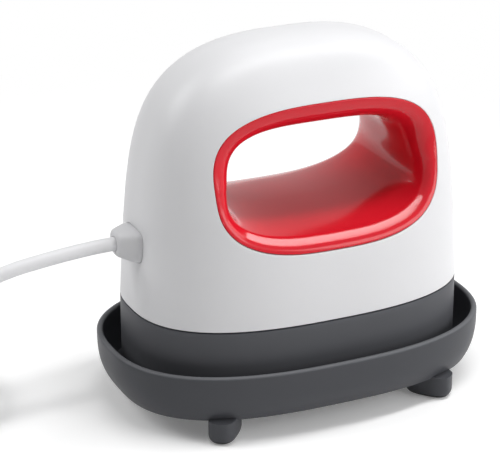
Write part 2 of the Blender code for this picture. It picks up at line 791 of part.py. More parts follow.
groove = as_mesh(tube("element_groove", element_route(False), ELEMENT_RADIUS + 2 * GAP, 1, cutters))
cut(plate, groove)
for number, (x, y) in enumerate(stems, 1):
    scoop = rod(
        f"groove_end_{number}",
        ELEMENT_RADIUS + 2 * GAP,
        (stem_x, y, plate_top),
        (leg_start + GAP, y, plate_top),
        cutters,
    )
    cut(plate, scoop)
for number, (x, y) in enumerate(posts, 1):
    start = (x, y, plate_top - THREAD_DEPTH)
    hole = rod(f"thread_{number}", SCREW_RADIUS + GAP, start, (x, y, plate_top + OVERRUN), cutters)
    cut(plate, hole)
paint(plate, (0.60, 0.60, 0.61), 0.35, 0.9)

element = tube("heating_element", element_route(True), ELEMENT_RADIUS, 1)
paint(element, (0.42, 0.41, 0.40), 0.4, 1.0)


# Felt pad and pressed shield over the plate
def pad_outline(inset):
    return oval(plate_half_length - inset, plate_half_width - inset, SEAM_POWER, PAD_SIDES)


felt = as_mesh(slab("insulation_felt", [pad_outline(FELT_INSET)], felt_bottom, felt_bottom + FELT_THICKNESS))
shield_rings = []
shield_inset = FELT_INSET - GAP - SHIELD_WALL
shield_low = shield_top - SHIELD_LIP
for z, inset in (
    (shield_top - SHIELD_WALL, shield_inset + SHIELD_WALL),
    (shield_low, shield_inset + SHIELD_WALL),
    (shield_low, shield_inset),
    (shield_top, shield_inset),
):
    shield_rings.append([(x, y, z) for x, y in pad_outline(inset)])
shield = loft("heat_shield", shield_rings)
for number, (x, y) in enumerate(posts, 1):
    low, high = (x, y, felt_bottom - OVERRUN), (x, y, shield_top + OVERRUN)
    cut(felt, rod(f"felt_hole_{number}", SPACER_RADIUS + GAP, low, high, cutters))
    cut(shield, rod(f"shield_hole_{number}", SCREW_RADIUS + GAP, low, high, cutters))
    spacer = rod(
        f"plate_spacer_{number}",
        SPACER_RADIUS,
        (x, y, plate_top + GAP),
        (x, y, shield_top - SHIELD_WALL - GAP),
    )
    cut(spacer, rod(f"spacer_bore_{number}", SCREW_RADIUS + GAP, low, high, cutters))
    paint(spacer, (0.62, 0.62, 0.63), 0.3, 1.0)
    plate_screw_length = deck_top + GAP - plate_top + THREAD_DEPTH - GAP
    screw(f"plate_screw_{number}", plate_screw_length, (x, y, deck_top + GAP), (0, 0, 1))
for number, (x, y) in enumerate(stems, 1):
    low, high = (x, y, plate_top), (x, y, shield_top + OVERRUN)
    cut(felt, rod(f"felt_window_{number}", ELEMENT_LIFT_RADIUS, low, high, cutters))
    cut(shield, rod(f"shield_window_{number}", STEM_WINDOW_RADIUS, low, high, cutters))
for number, (x, y) in enumerate(sensors, 1):
    low, high = (x, y, plate_top), (x, y, shield_top + OVERRUN)
    cut(felt, rod(f"sensor_window_{number}", SENSOR_WINDOW_RADIUS, low, high, cutters))
paint(felt, (0.72, 0.70, 0.66), 0.95)
paint(shield, (0.65, 0.65, 0.66), 0.3, 1.0)

# Sensor and cut-out on the plate
sensor_low = (-SENSOR_X - SENSOR_LENGTH / 2, -SENSOR_WIDTH / 2, plate_top + GAP)
sensor_high = (-SENSOR_X + SENSOR_LENGTH / 2, SENSOR_WIDTH / 2, plate_top + GAP + SENSOR_HEIGHT)
paint(box("thermistor", sensor_low, sensor_high), (0.12, 0.12, 0.13), 0.5)
fuse_z = plate_top + GAP + FUSE_RADIUS
fuse_ends = [(SENSOR_X + side * FUSE_LENGTH / 2, 0, fuse_z) for side in (-1, 1)]
paint(rod("thermal_fuse", FUSE_RADIUS, *fuse_ends), (0.70, 0.66, 0.58), 0.45)

# Control end: conformal panel, board, switch, lights and button
panel = shell_surface("control_panel")
panel_trim = end_prism(
    "panel_trim", PANEL_WIDTH, PANEL_HEIGHT, PANEL_POWER, panel_height, panel_root, end_reach
)
combine(panel, panel_trim, "INTERSECT")
board_half_width = PANEL_WIDTH / 2 + BOARD_INSET
board_half_height = PANEL_HEIGHT / 2
board_front = reach_at(board_half_width, panel_height + board_half_height) - SHELL_WALL - BOARD_ROOM
standoffs = []
for side_y in (-1, 1):
    for side_z in (-1, 1):
        y = side_y * (PANEL_WIDTH / 2 - STANDOFF_INSET)
        z = panel_height + side_z * (PANEL_HEIGHT / 2 - STANDOFF_INSET)
        standoffs.append((y, z))
for number, (y, z) in enumerate(standoffs, 1):
    start = (board_front + GAP, y, z)
    end = (reach_at(y, z) - SHELL_WALL / 2, y, z)
    join(panel, rod(f"standoff_{number}", STANDOFF_RADIUS, start, end, cutters))
button_start = (board_front, 0, button_height)
cut(panel, rod("button_hole", BUTTON_RADIUS + GAP, button_start, (end_reach, 0, button_height), cutters, RELIEF_SIDES))
light_heights = [panel_height + LIGHT_RISE + step * LIGHT_PITCH for step in range(3)]
for number, z in enumerate(light_heights, 1):
    hole = rod(f"light_hole_{number}", LIGHT_RADIUS + GAP, (board_front, 0, z), (end_reach, 0, z), cutters)
    cut(panel, hole)
    guide = rod(
        f"level_light_{number}",
        LIGHT_RADIUS,
        (board_front + GAP, 0, z),
        (reach_at(0, z) + LIGHT_PROUD, 0, z),
    )
    paint(guide, (0.85, 0.87, 0.88), 0.15)
paint(panel, (0.075, 0.077, 0.085), 0.4)
board_low = (board_front - BOARD_THICKNESS, -board_half_width, panel_height - board_half_height)
board_high = (board_front, board_half_width, panel_height + board_half_height)
paint(box("circuit_board", board_low, board_high), (0.02, 0.19, 0.09), 0.4)
switch_x = board_front + GAP
switch = box(
    "power_switch",
    (switch_x, -SWITCH_SIZE / 2, button_height - SWITCH_SIZE / 2),
    (switch_x + SWITCH_HEIGHT, SWITCH_SIZE / 2, button_height + SWITCH_SIZE / 2),
)
plunger_tip = switch_x + SWITCH_HEIGHT + PLUNGER_HEIGHT
join(
    switch,
    rod(
        "switch_plunger",
        PLUNGER_RADIUS,
        (switch_x + SWITCH_HEIGHT / 2, 0, button_height),
        (plunger_tip, 0, button_height),
        cutters,
    ),
)
paint(switch, (0.05, 0.05, 0.055), 0.45)
button_face = reach_at(0, button_height) + BUTTON_PROUD
flange_front = reach_at(0, button_height + BUTTON_FLANGE_RADIUS) - SHELL_WALL - 2 * GAP
stem_tip = plunger_tip + BUTTON_TRAVEL + GAP
button_profile = [
    (0, button_face),
    (BUTTON_RADIUS * BUTTON_DOME_SHARES[0], button_face - BUTTON_CROWN * BUTTON_DOME_SHARES[1]),
    (BUTTON_RADIUS, button_face - BUTTON_CROWN),
    (BUTTON_RADIUS, flange_front),
    (BUTTON_FLANGE_RADIUS, flange_front),
    (BUTTON_FLANGE_RADIUS, flange_front - BUTTON_FLANGE_WALL),
    (BUTTON_STEM_RADIUS, flange_front - BUTTON_FLANGE_WALL),
    (BUTTON_STEM_RADIUS, stem_tip),
    (0, stem_tip),
]
button = turned("power_button", button_profile, (0, 0, button_height), (1, 0, 0), RELIEF_SIDES)
paint(button, (0.80, 0.80, 0.82), 0.3)

# Strain relief: a flange inside the shell, a rounded square base and a tapering boot
relief_tip = reach_at(0, relief_height) + RELIEF_PROUD


def relief_ring(x, half_size, power):
    outline = oval(half_size, half_size, power, RELIEF_SIDES)
    return [(-x, y, relief_height + z) for y, z in outline]


relief_base = reach_at(0, relief_height) + RELIEF_STEP
relief_rings = [
    relief_ring(relief_back, flange_size / 2, RELIEF_POWER),
    relief_ring(relief_seat, flange_size / 2, RELIEF_POWER),
    relief_ring(relief_seat, RELIEF_SIZE / 2, RELIEF_POWER),
]
for along, wide in RELIEF_BOOT_SHARES:
    x = relief_base + (relief_tip - relief_base) * along
    power = RELIEF_POWER + (2 - RELIEF_POWER) * along
    relief_rings.append(relief_ring(x, RELIEF_SIZE / 2 * wide, power))
relief_rings.append(relief_ring(relief_tip, RELIEF_TIP_RADIUS * RELIEF_TIP_SHARE, 2))
paint(loft("strain_relief", relief_rings), (0.80, 0.80, 0.82), 0.45)

# Lead inside the housing, its clamp and the terminal block
lead_z = deck_top + GAP + cord_radius


def lead_route():
    """In from the relief, down in a quarter turn, and out along the deck in another."""
    drop = relief_height - lead_z - 2 * LEAD_TURN_RADIUS
    corner = turn_end - LEAD_TURN_RADIUS
    route = [(inner_start, 0, relief_height)]
    for step in range(LEAD_TURN_STEPS + 1):
        angle = math.pi / 2 * step / LEAD_TURN_STEPS
        x = corner - LEAD_TURN_RADIUS * (1 - math.sin(angle))
        route.append((x, 0, relief_height - LEAD_TURN_RADIUS * (1 - math.cos(angle))))
    for step in range(LEAD_TURN_STEPS + 1):
        angle = math.pi / 2 * step / LEAD_TURN_STEPS
        x = corner + LEAD_TURN_RADIUS * (1 - math.cos(angle))
        route.append((x, 0, relief_height - LEAD_TURN_RADIUS - drop - LEAD_TURN_RADIUS * math.sin(angle)))
    route.append((inner_end, 0, lead_z))
    return route


paint(tube("inner_lead", lead_route(), cord_radius, 2), (0.82, 0.82, 0.84), 0.45)
tunnel_half = cord_radius + GAP
clamp_top = lead_z + cord_radius + GAP + CLAMP_WALL
clamp = box(
    "cord_clamp",
    (clamp_x - CLAMP_LENGTH / 2, -CLAMP_WIDTH / 2, deck_top + GAP),
    (clamp_x + CLAMP_LENGTH / 2, CLAMP_WIDTH / 2, deck_top + GAP + CLAMP_FOOT),
)
bridge_half = tunnel_half + CLAMP_WALL
join(
    clamp,
    box(
        "clamp_bridge",
        (clamp_x - CLAMP_LENGTH / 2, -bridge_half, deck_top + GAP),
        (clamp_x + CLAMP_LENGTH / 2, bridge_half, clamp_top),
        cutters,
    ),
)
tunnel_ends = (clamp_x - CLAMP_LENGTH, clamp_x + CLAMP_LENGTH)
cut(clamp, rod("clamp_tunnel", tunnel_half, (tunnel_ends[0], 0, lead_z), (tunnel_ends[1], 0, lead_z), cutters))
cut(
    clamp,
    box(
        "clamp_mouth",
        (tunnel_ends[0], -tunnel_half, deck_top - OVERRUN),
        (tunnel_ends[1], tunnel_half, lead_z),
        cutters,
    ),
)
for number, (x, y) in enumerate(clamp_screws, 1):
    low, high = (x, y, deck_bottom), (x, y, clamp_top)
    cut(clamp, rod(f"clamp_bore_{number}", SCREW_RADIUS + GAP, low, high, cutters))
    seat = deck_top + GAP + CLAMP_FOOT + GAP
    screw(f"clamp_screw_{number}", CLAMP_SCREW_LENGTH, (x, y, seat), (0, 0, 1))
paint(clamp, (0.10, 0.10, 0.11), 0.5)

block_start = inner_end + GAP
block_end = block_start + BLOCK_LENGTH
block_top = deck_top + GAP + BLOCK_HEIGHT
block = box(
    "terminal_block",
    (block_start, -BLOCK_WIDTH / 2, deck_top + GAP),
    (block_end, BLOCK_WIDTH / 2, block_top),
)
for number in (-1, 0, 1):
    y = number * BLOCK_HOLE_PITCH
    centre_x = (block_start + block_end) / 2
    low, high = (centre_x, y, block_top - BLOCK_HOLE_DEPTH), (centre_x, y, block_top + OVERRUN)
    cut(block, rod(f"block_hole_{number + 2}", BLOCK_HOLE_RADIUS, low, high, cutters))
paint(block, (0.78, 0.78, 0.74), 0.5)


def smooth_route(route, steps):
    """Points of a smooth curve that passes through every point of the route."""
    places = [Vector(point) for point in route]
    ends = [2 * places[0] - places[1], *places, 2 * places[-1] - places[-2]]
    points = []
    for before, here, there, after in zip(ends, ends[1:], ends[2:], ends[3:]):
        for step in range(steps):
            t = step / steps
            pull = (there - before) * t + (2 * before - 5 * here + 4 * there - after) * t**2
            pull += (3 * here - before - 3 * there + after) * t**3
            points.append(here + pull / 2)
    points.append(places[-1])
    return points


# Wires: each climbs from its element stem to the block, and one runs on to the board
stem_tip_z = deck_top + ELEMENT_STEM_ABOVE_DECK
wire_z = deck_top + GAP + BLOCK_HEIGHT * BLOCK_ENTRY_SHARE
wire_over = clamp_top + SCREW_HEAD_HEIGHT + CLAMP_WALL
for number, side in enumerate((-1, 1), 1):
    stem_y = side * leg_y
    clear_y = side * (bridge_half + CLAMP_WALL)
    wire_route = [
        (stem_x, stem_y, stem_tip_z + GAP),
        (stem_x, stem_y, (stem_tip_z + wire_over) / 2),
        (stem_x + ELEMENT_LIFT_RADIUS, stem_y, wire_over),
        (clamp_x - CLAMP_LENGTH, (stem_y + clear_y) / 2, wire_over),
        (clamp_x + CLAMP_LENGTH / 2, clear_y, wire_z),
        (block_start - CLAMP_LENGTH / 2, clear_y * WIRE_ENTRY_SHARE, wire_z),
        (block_start - GAP, clear_y * WIRE_ENTRY_SHARE, wire_z),
    ]
    wire = tube(f"heater_wire_{number}", smooth_route(wire_route, 3), WIRE_RADIUS, 1)
    paint(wire, (0.75, 0.72, 0.65), 0.6)
board_middle = board_front - BOARD_THICKNESS / 2
board_edge = board_low[2] - GAP
cable_z = deck_top + WIRE_RADIUS + CLAMP_WALL
cable_x = [block_end + (board_middle - block_end) * share for share in CABLE_SHARES]
cable_route = [
    (block_end + GAP, 0, wire_z),
    (cable_x[0], 0, wire_z),
    (cable_x[1], 0, cable_z),
    (cable_x[2], 0, cable_z),
    (cable_x[3], 0, (cable_z + board_edge) / 2),
    (board_middle, 0, board_edge - CLAMP_LENGTH),
    (board_middle, 0, board_edge),
]
paint(tube("board_cable", smooth_route(cable_route, 3), WIRE_RADIUS, 1), (0.12, 0.12, 0.13), 0.6)

# Tray, its feet and the mat in it
tray_rim = tray_underside + TRAY_DEPTH


def tray_ring(depth_share, inset, z):
    """The tray's section; the share runs from 0 at the rim to 1 at the underside."""
    turn = depth_share**TRAY_TURN_POWER
    narrowing = TRAY_BASE_INSET * turn + inset
    power = TRAY_RIM_POWER + (TRAY_BASE_POWER - TRAY_RIM_POWER) * turn
    outline = oval(tray_half_length - narrowing, tray_half_width - narrowing, power)
    return [(x, y, z) for x, y in outline]


tray_rings = []
for step in range(TRAY_ROWS + 1):
    share = math.cos(math.pi / 2 * step / TRAY_ROWS)
    tray_rings.append(tray_ring(share, 0, tray_rim - TRAY_WALL / 2 - (TRAY_DEPTH - TRAY_WALL / 2) * share))
for step in range(1, 4):
    angle = math.pi * step / 4
    inset = TRAY_WALL / 2 * (1 - math.cos(angle))
    tray_rings.append(tray_ring(0, inset, tray_rim - TRAY_WALL / 2 * (1 - math.sin(angle))))
inner_depth = tray_rim - TRAY_WALL / 2 - tray_floor_top
for step in range(TRAY_ROWS):
    share = math.sin(math.pi / 2 * step / (TRAY_ROWS - 1))
    depth_share = share * inner_depth / (TRAY_DEPTH - TRAY_WALL / 2)
    tray_rings.append(tray_ring(depth_share, TRAY_WALL, tray_rim - TRAY_WALL / 2 - inner_depth * share))
tray = loft("safety_tray", tray_rings)


def foot_ring(side_x, side_y, shrink, z):
    """A foot's oval outline, turned so that it points out to the tray's corner."""
    turn = Matrix.Rotation(math.atan2(side_y * math.sin(FOOT_ANGLE), side_x * math.cos(FOOT_ANGLE)), 3, "Z")
    centre = Vector((side_x * foot_x, side_y * foot_y, z))
    outline = oval(FOOT_LENGTH / 2 - shrink, FOOT_WIDTH / 2 - shrink, FOOT_POWER, RELIEF_SIDES)
    return [centre + turn @ Vector((x, y, 0)) for x, y in outline]


def foot_shrink(z):
    """How far a foot is drawn in near the table, by its draft and its rounded lower edge."""
    return FOOT_DRAFT + FOOT_ROUND - math.sqrt(FOOT_ROUND**2 - max(0, FOOT_ROUND - z) ** 2)


core_depth = inner_depth + TRAY_FLOOR / 2
core_rings = []
for step in range(TRAY_ROWS):
    share = math.sin(math.pi / 2 * step / (TRAY_ROWS - 1))
    depth_share = share * core_depth / (TRAY_DEPTH - TRAY_WALL / 2)
    core_rings.append(tray_ring(depth_share, TRAY_WALL / 2, tray_rim - TRAY_WALL / 2 - core_depth * share))
core = loft("tray_core", core_rings, cutters)
for number, (side_x, side_y) in enumerate(corners, 1):
    boss = loft(
        f"foot_boss_{number}",
        [
            foot_ring(side_x, side_y, foot_shrink(PAD_THICKNESS + GAP), PAD_THICKNESS + GAP),
            foot_ring(side_x, side_y, foot_shrink(FOOT_ROUND), FOOT_ROUND),
            foot_ring(side_x, side_y, 0, tray_underside),
            foot_ring(side_x, side_y, 0, tray_underside + FOOT_ROOT),
        ],
        cutters,
    )
    cut(boss, core)
    join(tray, boss)
    pad_heights = [PAD_THICKNESS * share for share in PAD_SHARES]
    pad = loft(f"tray_foot_{number}", [foot_ring(side_x, side_y, foot_shrink(z), z) for z in pad_heights])
    paint(pad, (0.03, 0.03, 0.032), 0.8)
paint(tray, (0.075, 0.077, 0.085), 0.6)

mat_inset = TRAY_WALL + TRAY_BASE_INSET + MAT_INSET
mat_outline = oval(tray_half_length - mat_inset, tray_half_width - mat_inset, TRAY_BASE_POWER)
mat = slab("tray_mat", [mat_outline], mat_bottom, mat_bottom + MAT_THICKNESS)
paint(mat, (0.05, 0.05, 0.055), 0.9)

# Free lead: out of the relief, then out and down to the wound part beside the press
cord_start = (-relief_tip - GAP, 0, relief_height)
coil_x, coil_y = COIL_CENTRE
coil_low = TIE_WALL + 2 * GAP + cord_radius
coil_high = coil_low + COIL_PITCH
coil_left = coil_x - COIL_OUTER_RADIUS
cord_end = (coil_left, coil_y - CORD_DIAMETER - GAP, coil_high)
cord_points = smooth_route([cord_start, *CORD_ROUTE, cord_end], 1)
cord = tube("mains_cord", cord_points, cord_radius, 2)
paint(cord, (0.82, 0.82, 0.84), 0.45)


# Wound lead: spirals in on top, sinks where it turns back, spirals out below, and runs to the plug
def coil_points():
    turns = 2 * COIL_TURNS_PER_LAYER
    inner = COIL_OUTER_RADIUS - COIL_PITCH * COIL_TURNS_PER_LAYER
    points = [(coil_left, coil_y - CORD_DIAMETER, coil_high)]
    for step in range(turns * LOOP_POINTS + 1):
        turn = step / LOOP_POINTS
        radius = inner + COIL_PITCH * abs(turn - COIL_TURNS_PER_LAYER)
        sink = min(1, max(0, (turn - COIL_TURNS_PER_LAYER) * 2 + 1 / 2))
        z = coil_high - COIL_PITCH * sink**2 * (3 - 2 * sink)
        angle = math.pi - 2 * math.pi * turn
        points.append((coil_x + radius * math.cos(angle), coil_y + radius * math.sin(angle), z))
    plug_middle = PLUG_HEIGHT / 2 + GAP
    points.append((coil_left, coil_y + TAIL_LENGTH * TAIL_LOW_SHARE, coil_low))
    points.append((coil_left, coil_y + TAIL_LENGTH - CORD_DIAMETER, plug_middle))
    points.append((coil_left, coil_y + TAIL_LENGTH, plug_middle))
    return points


def least_gap(points):
    """Least distance between the tube's skins, over pieces further apart than half a loop."""
    places = [Vector(point) for point in points]
    apart = LOOP_POINTS // 2
    least = COIL_OUTER_RADIUS
    for index in range(len(places) - 1):
        here, there = places[index], places[index + 1]
        for other in range(index + apart, len(places) - 1):
            first, last = places[other], places[other + 1]
            for quarter in range(4):
                spot = here.lerp(there, quarter / 4)
                run = last - first
                along = min(1, max(0, (spot - first).dot(run) / run.length_squared))
                least = min(least, (spot - (first + run * along)).length)
    return least - CORD_DIAMETER


wound = coil_points()
print(f"Least gap between the turns of the lead: {least_gap(wound) * 1000:.2f} mm")
coil = tube("cord_coil", wound, cord_radius, 1)
paint(coil, (0.82, 0.82, 0.84), 0.45)
length = sum((Vector(b) - Vector(a)).length for a, b in zip(cord_points, cord_points[1:]))
length += sum((Vector(b) - Vector(a)).length for a, b in zip(wound, wound[1:]))
print(f"Length of the lead outside the housing: {length:.3f} m")

# Tie: a strap round all the turns on the far side of the coil
coil_inner = COIL_OUTER_RADIUS - COIL_PITCH * COIL_TURNS_PER_LAYER
tie_half_length = (COIL_OUTER_RADIUS - coil_inner) / 2 + cord_radius + TIE_SLACK
tie_half_height = COIL_PITCH / 2 + cord_radius + GAP
tie_mid_radius = (COIL_OUTER_RADIUS + coil_inner) / 2
tie_mid_height = (coil_low + coil_high) / 2
tie_outlines = []
for grow in (TIE_WALL, 0):
    tie_outlines.append(oval(tie_half_length + grow, tie_half_height + grow, TIE_POWER, RELIEF_SIDES))
tie = slab("cord_tie", tie_outlines, -TIE_WIDTH / 2, TIE_WIDTH / 2)
tie.location = (coil_x, coil_y + tie_mid_radius, tie_mid_height)
tie.rotation_euler = (math.pi / 2, 0, math.pi / 2)
paint(tie, (0.08, 0.08, 0.085), 0.8)

# Plug beside the coil, in line with the lead's last run
plug_x, plug_start, plug_z = wound[-1]
plug_boot = plug_start + GAP
plug_body_start = plug_boot + PLUG_BOOT_LENGTH
plug_face = plug_body_start + PLUG_BODY_LENGTH
plug_half_height = PLUG_HEIGHT / 2


def plug_ring(y, half_width, half_height, power):
    outline = oval(half_width, half_height, power, RELIEF_SIDES)
    return [(plug_x + x, y, plug_z + z) for x, z in outline]


boot_swell, body_share = PLUG_BOOT_SHARES
plug_half_width = PLUG_WIDTH / 2
shoulder = (plug_half_width * body_share, plug_half_height * body_share)
plug_rings = [
    plug_ring(plug_boot, PLUG_BOOT_RADIUS, PLUG_BOOT_RADIUS, 2),
    plug_ring(plug_body_start - PLUG_EDGE, PLUG_BOOT_RADIUS * boot_swell, shoulder[1], 2),
    plug_ring(plug_body_start + PLUG_EDGE, *shoulder, PLUG_POWER),
    plug_ring(plug_body_start + 2 * PLUG_EDGE, plug_half_width, plug_half_height, PLUG_POWER),
    plug_ring(plug_face - PLUG_EDGE / 2, plug_half_width, plug_half_height, PLUG_POWER),
    plug_ring(plug_face, plug_half_width * PLUG_FACE_SHARE, plug_half_height * PLUG_FACE_SHARE, PLUG_POWER),
]
paint(loft("plug_body", plug_rings), (0.80, 0.80, 0.82), 0.4)
blade_start = plug_face + GAP
for number, side in enumerate((-1, 1), 1):
    x = plug_x + side * BLADE_SPREAD / 2
    blade = box(
        f"plug_blade_{number}",
        (x - BLADE_WALL / 2, blade_start, plug_z - BLADE_WIDTH / 2),
        (x + BLADE_WALL / 2, blade_start + BLADE_LENGTH, plug_z + BLADE_WIDTH / 2),
    )
    paint(blade, (0.75, 0.70, 0.55), 0.25, 1.0)

# Moving groups: the press lifts straight out of the tray, and the button slides in the end wall
lift = bpy.data.objects.new("press_lift", None)
slide = bpy.data.objects.new("button_slide", None)
for empty in (lift, slide):
    parts.objects.link(empty)
slide.location = (button_face, 0, button_height)
slide.parent = lift
standing = ("safety_tray", "tray_foot", "tray_mat", "cord_coil", "cord_tie", "plug_")
bpy.context.view_layer.update()
for piece in list(parts.objects):
    if piece.type == "EMPTY" or piece.name.startswith(standing):
        continue
    carrier = slide if piece.name == "power_button" else lift
    piece.parent = carrier
    piece.matrix_parent_inverse = carrier.matrix_world.inverted()
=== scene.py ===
import bmesh
import bpy
import numpy as np
from mathutils import Matrix, Vector


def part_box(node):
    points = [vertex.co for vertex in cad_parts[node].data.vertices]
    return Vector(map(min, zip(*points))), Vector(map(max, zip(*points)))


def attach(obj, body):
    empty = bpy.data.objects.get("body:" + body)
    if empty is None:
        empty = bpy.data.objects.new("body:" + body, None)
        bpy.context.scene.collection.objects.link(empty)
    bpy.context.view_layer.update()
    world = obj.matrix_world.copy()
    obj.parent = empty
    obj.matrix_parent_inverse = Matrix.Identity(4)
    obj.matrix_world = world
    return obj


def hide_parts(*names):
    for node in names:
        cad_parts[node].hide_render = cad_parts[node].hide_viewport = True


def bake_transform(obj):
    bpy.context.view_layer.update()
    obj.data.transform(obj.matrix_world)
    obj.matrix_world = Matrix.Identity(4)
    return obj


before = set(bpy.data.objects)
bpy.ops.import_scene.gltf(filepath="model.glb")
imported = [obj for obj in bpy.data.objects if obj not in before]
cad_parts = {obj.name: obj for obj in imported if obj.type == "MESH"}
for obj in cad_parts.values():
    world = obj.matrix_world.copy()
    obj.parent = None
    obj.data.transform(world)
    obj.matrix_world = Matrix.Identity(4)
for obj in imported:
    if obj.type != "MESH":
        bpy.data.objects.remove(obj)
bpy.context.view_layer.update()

# Camera: the photograph was taken from in front and a little to the left, above the hand hole,
# with a long lens, so the sides of the housing hardly converge.
turn, rise = np.radians((-24.746, 22.307))
distance = 1.16536
aim_aside, aim_height = -0.021757, 0.084845
sensor_width = 36
focal_pixels, picture_pixels = 2111.216, 500
camera = bpy.data.objects.new("camera", bpy.data.cameras.new("camera"))
bpy.context.scene.collection.objects.link(camera)
right = Vector((np.cos(turn), np.sin(turn), 0))
back = Vector((np.sin(turn) * np.cos(rise), -np.cos(turn) * np.cos(rise), np.sin(rise)))
stand = right * aim_aside + Vector((0, 0, aim_height)) + back * distance
camera.matrix_world = Matrix(
    [(right[i], back.cross(right)[i], back[i], stand[i]) for i in range(3)] + [(0, 0, 0, 1)]
)
camera.data.sensor_width = sensor_width
camera.data.lens = sensor_width * focal_pixels / picture_pixels
bpy.context.scene.camera = camera
bpy.context.scene.view_settings.view_transform = "Standard"

# Mains lead: a white round flexible sheath, one unbroken length from the boot on the end wall to its
# plug.  It leaves straight out, sinks to the table and is wound up beside the press in two layers.
LEAD_DIAMETER = 0.0076
LEAD_ROUTE = [
    (-0.1130, 0.0000, 0.0991),
    (-0.1220, 0.0000, 0.0986),
    (-0.1330, 0.0000, 0.0977),
    (-0.1450, 0.0000, 0.0964),
    (-0.1580, 0.0000, 0.0946),
    (-0.1710, 0.0001, 0.0916),
    (-0.1821, -0.0006, 0.0877),
    (-0.1938, -0.0025, 0.0814),
    (-0.2058, -0.0048, 0.0732),
    (-0.2177, -0.0070, 0.0637),
    (-0.2292, -0.0083, 0.0535),
    (-0.2399, -0.0081, 0.0433),
    (-0.2494, -0.0057, 0.0341),
    (-0.2575, -0.0004, 0.0259),
    (-0.2636, 0.0083, 0.0194),
    (-0.2676, 0.0213, 0.0151),
    (-0.2689, 0.0331, 0.0138),
    (-0.2690, 0.0391, 0.0135),
]
COIL_MIDDLE = (-0.2140, 0.0540)
COIL_RADIUS = 0.0550
COIL_PITCH = 0.0082
LAYER_TURNS = 3
LAYER_HEIGHTS = (0.0134, 0.0052)
TAIL_LENGTH = 0.0350
PLUG_MIDDLE_HEIGHT = 0.0078
BOOT_HEIGHT = 0.0993
EXIT_DEPTH, ROOT_DEPTH = 0.0021, 0.0050
FREE_STEPS, TURN_STEPS, TAIL_STEPS = 8, 72, 6
MERGE_DISTANCE = 0.000002


def unit(vectors):
    """Each vector divided by its own length."""
    return vectors / np.linalg.norm(vectors, axis=-1, keepdims=True)


def through(places, steps):
    """A smooth line through the places: between two of them it is the cubic whose slope at each is
    half the way from the place before to the place after."""
    places = np.asarray(places, float)
    around = np.concatenate([[2 * places[0] - places[1]], places, [2 * places[-1] - places[-2]]])
    before, here = around[:-3, None], around[1:-2, None]
    there, after = around[2:-1, None], around[3:, None]
    t = (np.arange(steps) / steps)[None, :, None]
    line = here + (there - before) * t / 2
    line = line + (2 * before - 5 * here + 4 * there - after) * t**2 / 2
    line = line + (3 * here - before - 3 * there + after) * t**3 / 2
    return np.concatenate([line.reshape(-1, 3), places[-1:]])


def grid_points(x, y, z):
    """Points from their x, y and z, each spread over the shape of the others."""
    return np.stack(np.broadcast_arrays(x, y, z), axis=-1)


def winding(points_per_turn):
    """The wound lead: the angle runs clockwise while the radius shrinks by one pitch a turn on the upper
    layer, then grows by one pitch a turn on the lower; the height falls as a smooth step in between."""
    turns = np.arange(2 * LAYER_TURNS * points_per_turn + 1) / points_per_turn
    radius = COIL_RADIUS - COIL_PITCH * LAYER_TURNS + COIL_PITCH * np.abs(turns - LAYER_TURNS)
    sink = np.clip((turns - LAYER_TURNS) * 2 + 0.5, 0, 1)
    height = LAYER_HEIGHTS[0] - COIL_PITCH * sink**2 * (3 - 2 * sink)
    angle = np.pi - 2 * np.pi * turns
    across = COIL_MIDDLE[0] + radius * np.cos(angle)
    along = COIL_MIDDLE[1] + radius * np.sin(angle)
    return grid_points(across, along, height)


boot_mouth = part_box("strain_relief")[0].x
lead_exit = (boot_mouth + EXIT_DEPTH, 0.0, BOOT_HEIGHT)
lead_start = (boot_mouth + ROOT_DEPTH, 0.0, BOOT_HEIGHT)
coil_edge = COIL_MIDDLE[0] - COIL_RADIUS
tail = [
    (coil_edge, COIL_MIDDLE[1] + TAIL_LENGTH * 0.25, LAYER_HEIGHTS[1]),
    (coil_edge, COIL_MIDDLE[1] + TAIL_LENGTH * 0.5, LAYER_HEIGHTS[1]),
    (coil_edge, COIL_MIDDLE[1] + TAIL_LENGTH - LEAD_DIAMETER, PLUG_MIDDLE_HEIGHT),
    (coil_edge, COIL_MIDDLE[1] + TAIL_LENGTH, PLUG_MIDDLE_HEIGHT),
]
wound = winding(TURN_STEPS)
# the route's last place lies past its end and only turns the line into the winding
route = [lead_start, lead_exit, *LEAD_ROUTE, wound[0], wound[4]]
free = through(route, FREE_STEPS)[: -FREE_STEPS - 1]
lead_line = np.concatenate([free, wound, through([wound[-1], *tail], TAIL_STEPS)[1:]])


def grid_faces(rows, columns, close_rows=False):
    """Four-cornered faces of a grid: each joins a point to its neighbours in the next column and row.
    The last column is joined to the first, and with close_rows the last row too."""
    index = np.arange(rows * columns).reshape(rows, columns)
    index = np.concatenate([index, index[:, :1]], axis=1)
    if close_rows:
        index = np.concatenate([index, index[:1]], axis=0)
    corners = (index[:-1, :-1], index[:-1, 1:], index[1:, 1:], index[1:, :-1])
    return np.stack(corners, axis=-1).reshape(-1, 4)


def make_piece(name, *grids, closed=False, capped=True, sharp=35):
    """A mesh piece from grids of points, whose rows are closed rings.  A closed grid joins its last ring
    to its first; any other gets a flat face over its first and last ring, if capped."""
    points, faces, start = [], [], 0
    for grid in grids:
        rows, columns = grid.shape[:2]
        points.append(grid.reshape(-1, 3))
        faces += (grid_faces(rows, columns, closed) + start).tolist()
        if capped and not closed:
            ends = (start, start + (rows - 1) * columns)
            faces += [list(range(first, first + columns)) for first in ends]
        start += rows * columns
    return mesh_piece(name, np.concatenate(points), faces, sharp)


